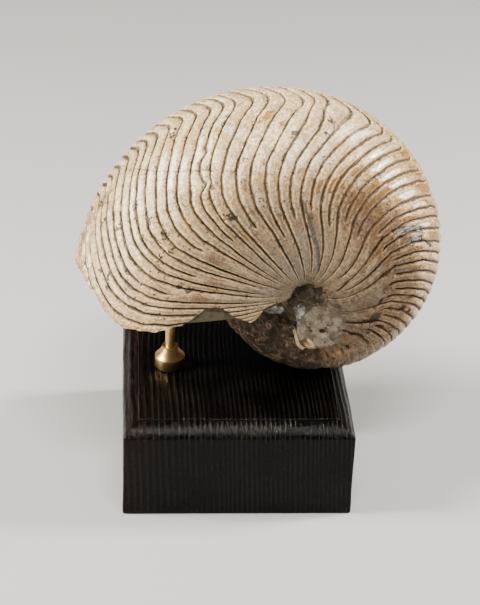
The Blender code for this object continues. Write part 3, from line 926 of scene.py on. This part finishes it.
def young_ribs(s):
    """Honey, rust, rose and orange on the oldest part of the shell, at the right."""
    s.young = s.phase.step(78.0, 40.0) * s.worn.step(0.55, 0.05)
    s.young = s.young * s.across.step(0.62, 0.48).blend(0.35, 1.0)
    s.coat(HONEY, s.young * 0.52)
    stained = s.young * s.dash.stir(s.small, 0.5).step(0.46, 0.6)
    s.coat(RUST, stained * 0.72)
    rosy = s.young * s.noise(0.0042).step(0.52, 0.62)
    s.coat(ROSE, rosy * 0.5)
    orange = s.young * s.noise(0.0042, 2.0, s.warp(0.006, 0.003)).step(0.47, 0.54)
    zone = s.across.band(0.29, 0.35, 0.52, 0.44)
    zone = s.most(s.across.step(0.24, 0.16), zone * 0.9)
    s.coat(ORANGE, orange * zone * 0.85)
    flecks = s.cells(0.0017, "Color", s.warp(0.003, 0.003))
    flecked = s.young * s.across.step(0.5, 0.32)
    s.coat(UMBER, flecked * (flecks.step(0.42, 0.28) * 0.6))
    s.coat(PALE, flecked * (flecks.step(0.6, 0.72) * 0.35))


def stains_and_pearl_highlights(s):
    """Brown and rust stains, the brown lip, pearly ribs whitened as painted highlight, and blue-grey
    stains.
    """
    s.coat(BROWN, spot(s, "brown", 0.25, 0.85, 1.1) * 0.68)
    s.coat(RUST, spot(s, "rust", 0.32, 0.58, 1.0) * 0.9)
    lip = s.attribute("lip").step(0.45, 0.95) * s.small.step(0.34, 0.52)
    s.coat(LIP_BROWN, lip * 0.8)
    # Pearly crests whitened: painted highlight over the real nacre, which is also smoother.
    s.pearl = spot(s, "pearl", 0.25, 0.6, 0.5) * s.crest.step(0.35, 0.9)
    s.coat(PEARL_AND_HIGHLIGHT, s.pearl * 0.9)
    s.coat(BLUE, spot(s, "blue", 0.45, 0.75, 0.8) * 0.8)


def worn_and_shaded_side(s):
    """Scrubbed, smeared and mottled shell on the lowest part, with the lower side darkened further as
    painted shade.
    """
    scrubbed = s.mix(s.medium.step(0.4, 0.6), TAUPE, BROWN)
    scrubbed = s.layers(scrubbed, (TAUPE_LIGHT, s.noise(0.0045), 0.52, 0.62, 0.6),
                        (DRAB, s.small, 0.46, 0.6, 0.5))
    # Real wear, widened over the lower side as painted shade towards the bottom.
    low_side_wear_and_shade = s.across.stir(s.medium, 0.2).step(0.42, 0.56) * s.phase.step(30.0, -14.0)
    low_side_wear_and_shade = s.most(s.worn, low_side_wear_and_shade)
    s.coat(scrubbed, low_side_wear_and_shade * 0.9)
    smear = s.streak * 0.4 + s.noise(0.0046, 4.0) * 0.6
    smear = low_side_wear_and_shade * smear.stir(s.small, 0.35).step(0.49, 0.57)
    s.coat(SMEAR, smear * 0.72)
    mottle = s.noise(0.0026).stir(s.streak, 0.5).step(0.5, 0.6)
    s.coat(MOTTLE, low_side_wear_and_shade * mottle * 0.7)


def groove_colours(s):
    """Dark soil in the grooves, a brown halo beside them, painted shade in the valleys of the young ribs,
    cream lips painted as highlight, and a lit edge on one side.
    """
    s.ragged = s.gap.stir(s.small, 1.1).stir(s.grit, 0.8)
    s.deep = s.across.step(0.28, 0.48)
    halo = s.ragged.step(1.6, 0.4) * s.medium.step(0.35, 0.6)
    s.last_ribs = s.phase.step(122.0, 150.0)
    halo = halo * s.last_ribs.blend(s.deep.blend(0.5, 0.7), 0.92)
    s.coat(s.mix(s.phase.step(100.0, 60.0), HALO, UMBER), halo)
    # Brown painted shade down in the valleys between the young ribs.
    valley_shade = s.young * s.ragged.stir(s.medium, 1.6).step(2.0, 0.5)
    s.coat(VALLEY_SHADE, valley_shade * 0.86)
    dirt = s.phase.step(66.0, 30.0) * s.across.step(0.36, 0.5)
    dirt = dirt * s.noise(0.0015).stir(s.medium, 0.5).step(0.54, 0.62)
    s.coat(DIRT, dirt * 0.75)
    thin = s.ragged * (s.young * s.across.step(0.52, 0.4)).blend(1.0, 1.5)
    thin = thin * s.last_ribs.blend(1.0, 0.66)
    s.dark = thin.step(s.deep.blend(0.8, 0.58), s.deep.blend(0.36, 0.2))
    worn_out = s.noise(0.012).step(0.66, 0.52)
    s.dark = s.dark * worn_out.blend(s.deep.blend(0.65, 0.92), 1.0)
    s.dark = s.dark * (s.young * s.across.step(0.5, 0.38)).blend(s.deep.blend(1.0, 0.78), 0.64)
    s.dark = s.dark * s.noise(0.0031, 2.0).step(0.42, 0.56).blend(0.62, 1.0)
    # Cream on both lips of each groove: painted highlight where the raised edges catch the light.
    s.coat(CREAM, s.ragged.band(0.75, 1.05, 1.75, 1.3) * s.deep.blend(0.3, 0.55))
    lit_edge = s.ragged.band(0.72, 0.92, 1.5, 1.1)
    lit_edge = lit_edge * (s.lean.step(0.45, 0.2) * s.small.step(0.42, 0.54))
    lit_edge = lit_edge * s.last_ribs.blend(1.0, 0.2)
    s.coat(PALE, lit_edge * s.deep.blend(0.7, 0.4))
    soil = s.mix(s.last_ribs, OLIVE, SOIL)
    s.coat(s.mix(s.deep, soil, GROOVE), s.dark)


def nicks_and_pits(s):
    """Small dark nicks, blotches and pits beside the grooves."""
    blotch = s.noise(0.0019, 2.0).step(0.58, 0.66) * s.noise(0.011, 2.0).step(0.5, 0.6)
    blotch = blotch * s.gap.step(2.0, 0.6)
    s.nick = s.attribute("nick").stir(s.noise(0.0014), 3.2)
    s.nick = s.nick.step(0.62, 0.82) * s.attribute("nick").step(0.15, 0.35)
    s.coat(NICK, s.most(blotch, s.nick) * 0.95)
    dots = s.cells(0.0023, "Distance", s.warp(0.004, 0.0016))
    chosen = s.noise(0.007, 2.0).step(0.45, 0.56)
    band = s.across.band(0.34, 0.44, 0.66, 0.56)
    near_groove = s.gap.step(2.2, 0.8)
    chosen = chosen * s.most(band, near_groove.blend(0.5, 0.95))
    more = s.most(chosen, s.most(s.attribute("eroded"), s.worn) * 0.9)
    s.pits = dots.step(0.28, 0.14) * more
    s.coat(GROOVE, s.pits * 0.85)
    eroded = s.attribute("eroded").stir(s.small, 1.8).step(0.45, 1.15)
    s.coat(BROWN, eroded * 0.8)


def across_ribs(s, phase_a, v_a, phase_b, v_b):
    """Hairline across the ribs, from one rib phase and v to another."""
    slope = (v_b - v_a) / (phase_b - phase_a)
    line = (s.phase - phase_a) * slope + v_a
    offset = abs(s.side - line + s.wavy)
    inside = s.phase.band(phase_b - 0.6, phase_b + 0.6, phase_a + 0.6, phase_a - 0.6)
    return offset.step(HAIRLINE, HAIRLINE * 0.3) * inside


def along_ribs(s, v_a, phase_a, v_b, phase_b, width):
    """Line along the ribs, from one v and rib phase to another."""
    slope = (phase_b - phase_a) / (v_b - v_a)
    line = (s.side - v_a) * slope + phase_a
    offset = abs(s.phase - line + s.wander)
    inside = s.side.band(v_a - 0.01, v_a + 0.01, v_b + 0.01, v_b - 0.01)
    return offset.step(width, width * 0.4) * inside


def cracks(s):
    """Hairlines, splits across the ribs and the blue-grey vein above the pit."""
    plates = s.cells(0.023, "Distance", s.warp(0.007, 0.006), "DISTANCE_TO_EDGE")
    seen = s.noise(0.02, 2.0).step(0.56, 0.64)
    s.crack = plates.step(0.012, 0.003) * seen
    s.wavy = (s.medium - 0.5) * 0.016
    s.wander = ((s.medium - 0.5) * 3.0).stir(s.small, 2.0)
    for ends in CRACKS_ACROSS:
        s.crack = s.most(s.crack, across_ribs(s, *ends))
    s.coat(GROOVE, s.crack * 0.55)
    split = along_ribs(s, 0.09, 79.6, 0.2, 76.0, 0.34)
    split = s.most(split, along_ribs(s, 0.03, 131.5, 0.11, 127.8, 0.36))
    split = s.most(split, along_ribs(s, 0.12, 81.8, 0.2, 81.0, 0.5))
    s.coat(GROOVE, split * 0.85)
    edge = s.most(along_ribs(s, 0.5, 75.4, 0.65, 73.2, 2.1), along_ribs(s, 0.64, 73.2, 0.78, 67.0, 2.2))
    s.coat(GROOVE, edge * 0.85)
    vein = s.most(along_ribs(s, 0.51, 75.4, 0.65, 73.2, 1.6), along_ribs(s, 0.64, 73.2, 0.77, 67.5, 1.6))
    vein = vein * s.noise(0.0028, 4.0).step(0.45, 0.52)
    veined = s.mix(s.noise(0.0017, 2.0).step(0.46, 0.62), VEIN_DARK, VEIN_LIGHT)
    s.coat(veined, vein * 0.88)


def bare_pearl(s):
    """Silver bars of bare pearl and the dark scars around them."""
    s.silver = s.attribute("silver") * s.small.step(0.3, 0.45)
    plate = s.mix(s.attribute("silver").step(0.95, 0.6), s.mix(s.grit.step(0.4, 0.62), SILVER, BLUE), PEARL_AND_HIGHLIGHT)
    s.coat(plate, s.silver * 0.92)
    scar = s.attribute("scar").stir(s.small, 0.7).step(0.45, 0.75)
    s.coat(SCAR, scar * 0.92)


def grey_patch(s):
    """Smooth grey patch beside the pit, with a darker outline."""
    s.patch = s.attribute("patch")
    smooth = s.mix(s.noise(0.006).step(0.42, 0.6), PATCH_DARK, PATCH_LIGHT)
    smooth = s.layers(smooth, (PATCH_STREAK, s.streak, 0.48, 0.58, 0.45),
                      (PATCH_PALE, s.small, 0.55, 0.62, 0.55),
                      (PATCH_SPOT, s.noise(0.0026), 0.57, 0.63, 0.8))
    s.coat(smooth, s.patch * 0.95)
    outline = s.patch.band(0.1, 0.45, 0.9, 0.55)
    s.coat(ROCK_LIGHT, outline * (s.small.step(0.4, 0.55) * 0.75))


def bare_rock(s):
    """Brown rock where the lowest whorl is broken, and in the pit, darkened there as painted shade."""
    s.rock = s.attribute("rock").stir(s.small, 0.8).step(0.3, 0.62)
    lumps = s.noise(0.0034, 4.0, s.warp(0.006, 0.004))
    stone = s.mix(lumps.step(0.5, 0.7), ROCK, ROCK_LIGHT)
    stone = s.layers(stone, (STONE_GRAIN, s.small, 0.5, 0.68, 0.5))
    swirl = s.noise(1.0, 2.0, s.vector(s.phase * 0.1, s.side * 16.0, 5.0))
    swirl = abs(swirl - 0.5).step(0.03, 0.006)
    stone = s.mix(swirl * (s.medium.step(0.42, 0.58) * 0.8), stone, SWIRL)
    s.coat(stone, s.rock)
    # Rock in the pit, its colours darkened as painted shade in the hollow.
    s.pit = s.attribute("pit").stir(s.small, 0.9).step(0.25, 0.6)
    s.coat(s.mix(s.small.step(0.44, 0.66), PIT_SHADED_ROCK, PIT_SHADED_ROCK_PALE), s.pit)


def small_remains(s):
    """Crystals, pale curls of shell, ochre, dark hollows and the fine speckle over all."""
    facets = s.cells(0.0016, "Color", s.warp(0.003, 0.002))
    crystals = s.mix(facets.step(0.3, 0.75), CRYSTAL_DARK, CRYSTAL)
    s.coat(crystals, spot(s, "crystal", 0.36, 0.56) * 0.95)
    curl = s.attribute("curl").stir(s.small, 0.5).step(0.35, 0.6)
    s.coat(s.mix(s.grit.step(0.36, 0.54), TAN, CURL), curl * 0.92)
    s.coat(OCHRE, spot(s, "ochre", 0.4, 0.65) * 0.8)
    s.hollow = spot(s, "dark", 0.34, 0.62, 0.4)
    s.coat(ROCK, s.hollow * 0.85)
    s.coat(CREAM, s.attribute("rim") * 0.5)
    speckle = s.noise(0.0011, 4.0).step(0.36, 0.62).blend(s.patch.blend(0.64, 0.8), 1.13)
    s.colour = s.mix(1.0, s.colour, speckle, "MULTIPLY")


def fossil_material():
    """Petrified shell: cream and tan ribs, dark grooves, stains, pearl, painted highlights and shade, and
    bare rock.
    """
    s = Shader("petrified_shell")
    for layer in (shell_fields, old_ribs, flank_colours, young_ribs, stains_and_pearl_highlights, worn_and_shaded_side,
                  groove_colours, nicks_and_pits, cracks, bare_pearl, grey_patch, bare_rock, small_remains):
        layer(s)
    bare = s.most(s.rock, s.most(s.pit, s.hollow))
    shiny = s.most(s.pearl, s.silver)
    rough = bare.blend(s.dark.blend(shiny.blend(s.crest.blend(0.4, 0.22), 0.08), 0.85), 0.9)
    rough = s.most(rough.stir(s.small, 0.45), 0.1)
    height = s.small * 0.7 + s.grit * 0.4 + s.growth * 0.45 + s.dash * 0.5
    height = height - s.pits - s.crack * 0.8 - s.most(s.dark, s.nick) * 0.6
    rocky = s.most(bare, s.worn * 0.5) * (s.medium + s.small * 1.5)
    height = (height + rocky) * shiny.blend(1.0, 0.22)
    normal = s.bump(height, 0.0006, 0.9)
    return s.finish(s.colour, rough, Normal=normal, Specular_IOR_Level=0.5)


def rock_material():
    """Fine grey-brown rock that fills the opening."""
    s = Shader("filling_rock")
    medium = s.noise(0.010, 4.0)
    small = s.noise(0.0016, 4.0)
    s.colour = s.mix(medium.step(0.45, 0.75) * 0.5, MATRIX, ROCK_LIGHT)
    s.coat(ROCK, small.step(0.48, 0.70) * 0.7)
    return s.finish(s.colour, 0.85, Normal=s.bump(small + medium * 0.6, 0.0005, 0.8))


def wood_material():
    """Black stain over brushed growth rings, with fine open fibres front to back."""
    s = Shader("black_stained_wood")
    turn = s.math("FRACT", s.attribute("ring"))
    late = turn.band(0.42, 0.86, 1.0, 0.92) * s.noise(0.014).step(0.36, 0.62).blend(0.25, 1.0)
    fibre = s.noise(0.0008, 3.0, s.stretched(1.0, 0.12, 1.0))
    left = s.node("SeparateXYZ", {0: s.place}).step(-0.034, -0.047)
    pores = fibre.step(0.58, 0.70)
    grain = s.noise(0.0005, 2.0)
    s.colour = s.mix(late, WOOD_SOFT, WOOD_HARD)
    s.coat(WOOD_CLOUD, s.noise(0.030).step(0.50, 0.80) * 0.4)
    s.coat(WOOD_RED, left * (fibre.step(0.40, 0.60) * 0.35))
    s.coat(WOOD_PORE, pores * 0.6)
    rough = fibre.stir(grain, 0.6).step(0.42, 0.58) * 0.22 + 0.05
    height = late * 0.3 + fibre - pores * 0.8 + grain * 0.5
    normal = s.bump(height, 0.00022, 1.0)
    return s.finish(s.colour, rough, Normal=normal, Specular_IOR_Level=0.10)


def brass_material():
    """Satin turned brass with fine tool marks and a little tarnish."""
    s = Shader("satin_brass")
    cloud = s.noise(0.006)
    marks = s.noise(0.00022, 2.0, s.stretched(0.15, 0.15, 1.0))
    colour = s.mix(cloud.step(0.35, 0.75), BRASS, BRASS_TARNISH)
    return s.finish(colour, cloud * 0.16 + 0.24, Normal=s.bump(marks, 0.00003, 0.6), Metallic=1.0)


# Block, in metres apart from the half width in millimetres
BLOCK_HALF = 50.0
BEVEL_WIDTH = 0.0067
BEVEL_FALL = 0.0048
BEVEL_BULGE = 0.0005
PANEL_STEP = 0.001
EDGE_RADIUS = 0.0006
SHOULDER_RADIUS = 0.0012
CORNER_RADIUS = 0.0008


def ring_number(points):
    """Which year's ring each point of the block lies in: closer together to the right."""
    bent = fractal(points * np.array([0.35, 1.0, 1.0]), 0.055, 2, seed=41) * 1.3
    bent = bent + fractal(points * np.array([1.0, 0.30, 0.30]), 0.006, 2, seed=42) * 0.18
    bent = bent + fractal(points * np.array([1.0, 0.04, 0.04]), 0.008, 2, seed=45) * 0.9
    x = points[..., 0] / MM + BLOCK_HALF + bent + 0.030 * points[..., 2] / MM
    return 0.50 * x + 6.0 * np.exp(-x / 30.0)


def ring_relief(points):
    """Height of the brushed surface in millimetres: the hard part of each ring stands up."""
    turn = ring_number(points) % 1.0
    late = ease((turn - 0.30) / 0.52) * ease((1.0 - turn) / 0.12)
    worn = 0.75 + 0.5 * fractal(points, 0.02, 2, seed=43)
    return 0.26 * (late - 0.4) * worn + 0.020 * fractal(points, 0.0012, 2, seed=44)


def block_outline(half, top):
    """Profile of one side as (distance from the middle, height), from the floor to the panel."""
    outline = [(half - EDGE_RADIUS, 0.0), (half - 0.00018, 0.00018), (half, EDGE_RADIUS)]
    lower = top - PANEL_STEP - BEVEL_FALL
    outline += [(half, EDGE_RADIUS + (lower - 0.0022) * k / 12) for k in range(1, 13)]
    for k in range(5):
        turn = k / 4 * math.pi / 5
        rise = lower - SHOULDER_RADIUS / 2 + SHOULDER_RADIUS * math.sin(turn)
        outline.append((half - SHOULDER_RADIUS * (1.0 - math.cos(turn)), rise))
    panel = half - BEVEL_WIDTH
    start, end = outline[-1], (panel, top - PANEL_STEP)
    for k in range(1, 11):
        t = k / 10
        out = BEVEL_BULGE * 4.0 * t * (1.0 - t)
        outline.append((start[0] + (end[0] - start[0]) * t + out, start[1] + (end[1] - start[1]) * t + out))
    outline.append((panel, top - EDGE_RADIUS))
    for k in range(1, 6):
        turn = k / 5 * math.pi / 2
        inward = EDGE_RADIUS * (1.0 - math.cos(turn))
        outline.append((panel - inward, top - EDGE_RADIUS * (1.0 - math.sin(turn))))
    return outline


def ring_faces(levels, count):
    """Faces between closed rings of points, given one ring after another."""
    faces = []
    for low in range(0, (levels - 1) * count, count):
        high = low + count
        for k in range(count):
            n = (k + 1) % count
            faces.append([low + k, low + n, high + n, high + k])
    return faces


def build_block():
    """Stained block with brushed rings, panel step, softly rounded bevel and eased edges."""
    low, high = (np.array(corner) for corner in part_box("wooden_base"))
    half = (high[0] - low[0]) / 2
    outline = np.array(block_outline(half, high[2]))
    slope = np.gradient(outline, axis=0)
    lean = np.stack([slope[:, 1], -slope[:, 0]], 1)
    lean = lean / np.linalg.norm(lean, axis=1, keepdims=True)
    wide = np.linspace(-1.0, 1.0, 289)[:-1]
    short = np.sin(np.linspace(-1.0, 1.0, 61)[:-1] * math.pi / 2)
    square = [(u, -1.0) for u in wide] + [(1.0, u) for u in short]
    square += [(-u, 1.0) for u in wide] + [(-1.0, -u) for u in short]
    square = np.array(square)
    ring = len(square)
    points = []
    for (reach, height), (out, up) in zip(outline, lean):
        flat = square * reach
        inner = np.clip(flat, -(reach - CORNER_RADIUS), reach - CORNER_RADIUS)
        away = flat - inner
        away = away / np.linalg.norm(away, axis=1, keepdims=True)
        flat = inner + away * CORNER_RADIUS
        line = np.column_stack([flat, np.full(ring, height)])
        normal = np.column_stack([away * out, np.full(ring, up)])
        rise = ring_relief(line) * float(ease(height / 0.0015)) * MM
        points.append(line + normal * rise[:, None])
    faces = [list(range(ring))[::-1]] + ring_faces(len(outline), ring)
    last = (len(outline) - 1) * ring
    inside = np.concatenate([wide, [1.0]])[1:-1] * outline[-1][0]
    depth = np.concatenate([short, [1.0]])[1:-1] * outline[-1][0]
    x, y = np.meshgrid(inside, depth)
    panel = np.stack([x, y, np.full(x.shape, high[2])], -1)
    panel[..., 2] += ring_relief(panel) * MM
    start = last + ring
    points.append(panel.reshape(-1, 3))
    rows, columns = x.shape
    number = np.zeros((rows + 2, columns + 2), int)
    number[1:-1, 1:-1] = start + np.arange(rows * columns).reshape(rows, columns)
    side, end = len(wide), len(short)
    number[0, :-1] = last + np.arange(side)
    number[:-1, -1] = last + side + np.arange(end)
    number[-1, ::-1][:-1] = last + side + end + np.arange(side)
    number[::-1, 0][:-1] = last + 2 * side + end + np.arange(end)
    for r in range(rows + 1):
        for c in range(columns + 1):
            faces.append([number[r, c], number[r, c + 1], number[r + 1, c + 1], number[r + 1, c]])
    points = np.concatenate(points)
    block = mesh_object("stained_block", points, faces, {"ring": ring_number(points)})
    block.data.set_sharp_from_angle(angle=math.radians(50.0))
    return block


def turned(name, profile, centre, segments=96):
    """Smooth turned piece from (radius, height) points, with a flat face at both ends."""
    points = []
    for radius, height in profile:
        for k in range(segments):
            turn = 2.0 * math.pi * k / segments
            x, y = radius * math.cos(turn), radius * math.sin(turn)
            points.append((centre[0] + x, centre[1] + y, height))
    faces = ring_faces(len(profile), segments)
    faces.append(list(range(segments))[::-1])
    faces.append([(len(profile) - 1) * segments + k for k in range(segments)])
    piece = mesh_object(name, np.array(points), faces)
    piece.data.set_sharp_from_angle(angle=math.radians(30.0))
    return piece


# Turned foot, in metres: steps in from its radius and heights up the drum, then steps out from its neck
# and heights around the lip
DRUM = ((0.0005, 0.0), (0.0001, 0.0002), (0.0, 0.0005), (0.0, 0.0052), (0.00005, 0.0055), (0.0003, 0.0058))
FOOT_LIP = ((0.00012, 0.01), (0.00018, 0.0102), (0.00012, 0.0105), (-0.0001, 0.0106))
NECK_RADIUS = 0.0035
BORE_RADIUS = 0.0023
SWEEP_START = 0.0059
SWEEP_RISE = 0.004
ROD_TUCK = 0.0006           # metres by which the rod runs on into the rock


def build_foot():
    """Turned foot: drum, hollow sweep and a thin lip around the rod."""
    low, high = (np.array(corner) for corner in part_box("brass_foot"))
    centre = (low + high) / 2
    radius = (high[0] - low[0]) / 2
    z = low[2] - REST_GAP
    profile = [(radius - inside, z + height) for inside, height in DRUM]
    wide = radius - 0.0004
    for k in range(1, 13):
        share = k / 12
        reach = NECK_RADIUS + (wide - NECK_RADIUS) * (1.0 - share) ** 1.12
        profile.append((reach, z + SWEEP_START + SWEEP_RISE * share ** 1.18))
    profile += [(NECK_RADIUS + outside, z + height) for outside, height in FOOT_LIP]
    profile.append((BORE_RADIUS, z + FOOT_LIP[-1][1]))
    return turned("brass_foot_turned", profile, centre)


def build_rod():
    """Plain round rod from the foot up to the rock of the opening."""
    low, high = (np.array(corner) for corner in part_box("brass_rod"))
    radius = (high[0] - low[0]) / 2
    profile = [(radius, low[2]), (radius, low[2] + 0.02), (radius, high[2] + ROD_TUCK)]
    return turned("brass_rod_turned", profile, (low + high) / 2, 64)


LIGHT_AIM = (0.01, 0.0, 0.1)
# Lights: name, place, width and height, power in watts and colour
LIGHTS = (("key_left", (-0.8, -0.05, 0.68), (0.24, 0.24), 30.0, (1.0, 0.93, 0.82)),
          ("side_left", (-1.05, -0.36, 0.22), (0.2, 0.4), 8.0, (1.0, 0.94, 0.85)),
          ("key_right", (0.8, 0.12, 0.6), (0.18, 0.18), 22.0, (1.0, 0.93, 0.83)),
          ("overhead", (0.06, -0.48, 1.06), (0.44, 0.1), 14.0, (1.0, 0.95, 0.87)))
SURROUND_STRENGTH = 0.08
FLOOR_HALF = 3.0


def add_light(name, place, size, power, colour):
    """Soft rectangular light that faces the fossil."""
    light = bpy.data.lights.new(name, "AREA")
    light.shape = "RECTANGLE"
    light.size, light.size_y = size
    light.energy = power
    light.color = colour
    obj = bpy.data.objects.new(name, light)
    obj.location = place
    obj.rotation_euler = (Vector(LIGHT_AIM) - Vector(place)).to_track_quat("-Z", "Y").to_euler()
    bpy.context.collection.objects.link(obj)


def add_stage():
    """Pale floor, soft lights and a dim pale surround."""
    corners = [(-1, -1, 0), (1, -1, 0), (1, 1, 0), (-1, 1, 0)]
    floor = mesh_object("floor", np.array(corners, float) * FLOOR_HALF, [[0, 1, 2, 3]])
    floor.data.materials.append(Shader("pale_floor").finish(FLOOR_GREY, 0.7))
    world = bpy.data.worlds.new("surround")
    world.use_nodes = True
    background = world.node_tree.nodes["Background"]
    background.inputs["Color"].default_value = (*SURROUND, 1.0)
    background.inputs["Strength"].default_value = SURROUND_STRENGTH
    bpy.context.scene.world = world
    for light in LIGHTS:
        add_light(*light)


def add_camera():
    """Camera at the photograph's angle."""
    azimuth, elevation, roll = (math.radians(a) for a in (CAMERA_AZIMUTH, CAMERA_ELEVATION, CAMERA_ROLL))
    ahead = Vector((-math.sin(azimuth) * math.cos(elevation), math.cos(azimuth) * math.cos(elevation),
                    -math.sin(elevation)))
    level = Vector((math.cos(azimuth), math.sin(azimuth), 0.0))
    upright = level.cross(ahead)
    right = math.cos(roll) * level + math.sin(roll) * upright
    up = math.cos(roll) * upright - math.sin(roll) * level
    camera = bpy.data.objects.new("camera", bpy.data.cameras.new("camera"))
    camera.data.lens = CAMERA_LENS
    camera.data.sensor_width = SENSOR_WIDTH
    camera.data.clip_start = 0.01
    turn = Matrix((right, up, -ahead)).transposed().to_4x4()
    camera.matrix_world = Matrix.Translation(Vector(CAMERA_TARGET) - ahead * CAMERA_DISTANCE) @ turn
    bpy.context.collection.objects.link(camera)
    bpy.context.scene.camera = camera


def dress(piece, material, node):
    """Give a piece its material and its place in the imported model."""
    piece.data.materials.append(material)
    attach(piece, "root")
    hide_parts(node)


petrified_shell = fossil_material()
for shell in build_whorl():
    dress(shell, petrified_shell, "fossil_nautiloid")
dress(build_mouth(), rock_material(), "fossil_nautiloid")
brass = brass_material()
dress(build_foot(), brass, "brass_foot")
dress(build_rod(), brass, "brass_rod")
dress(build_block(), wood_material(), "wooden_base")
add_stage()
add_camera()
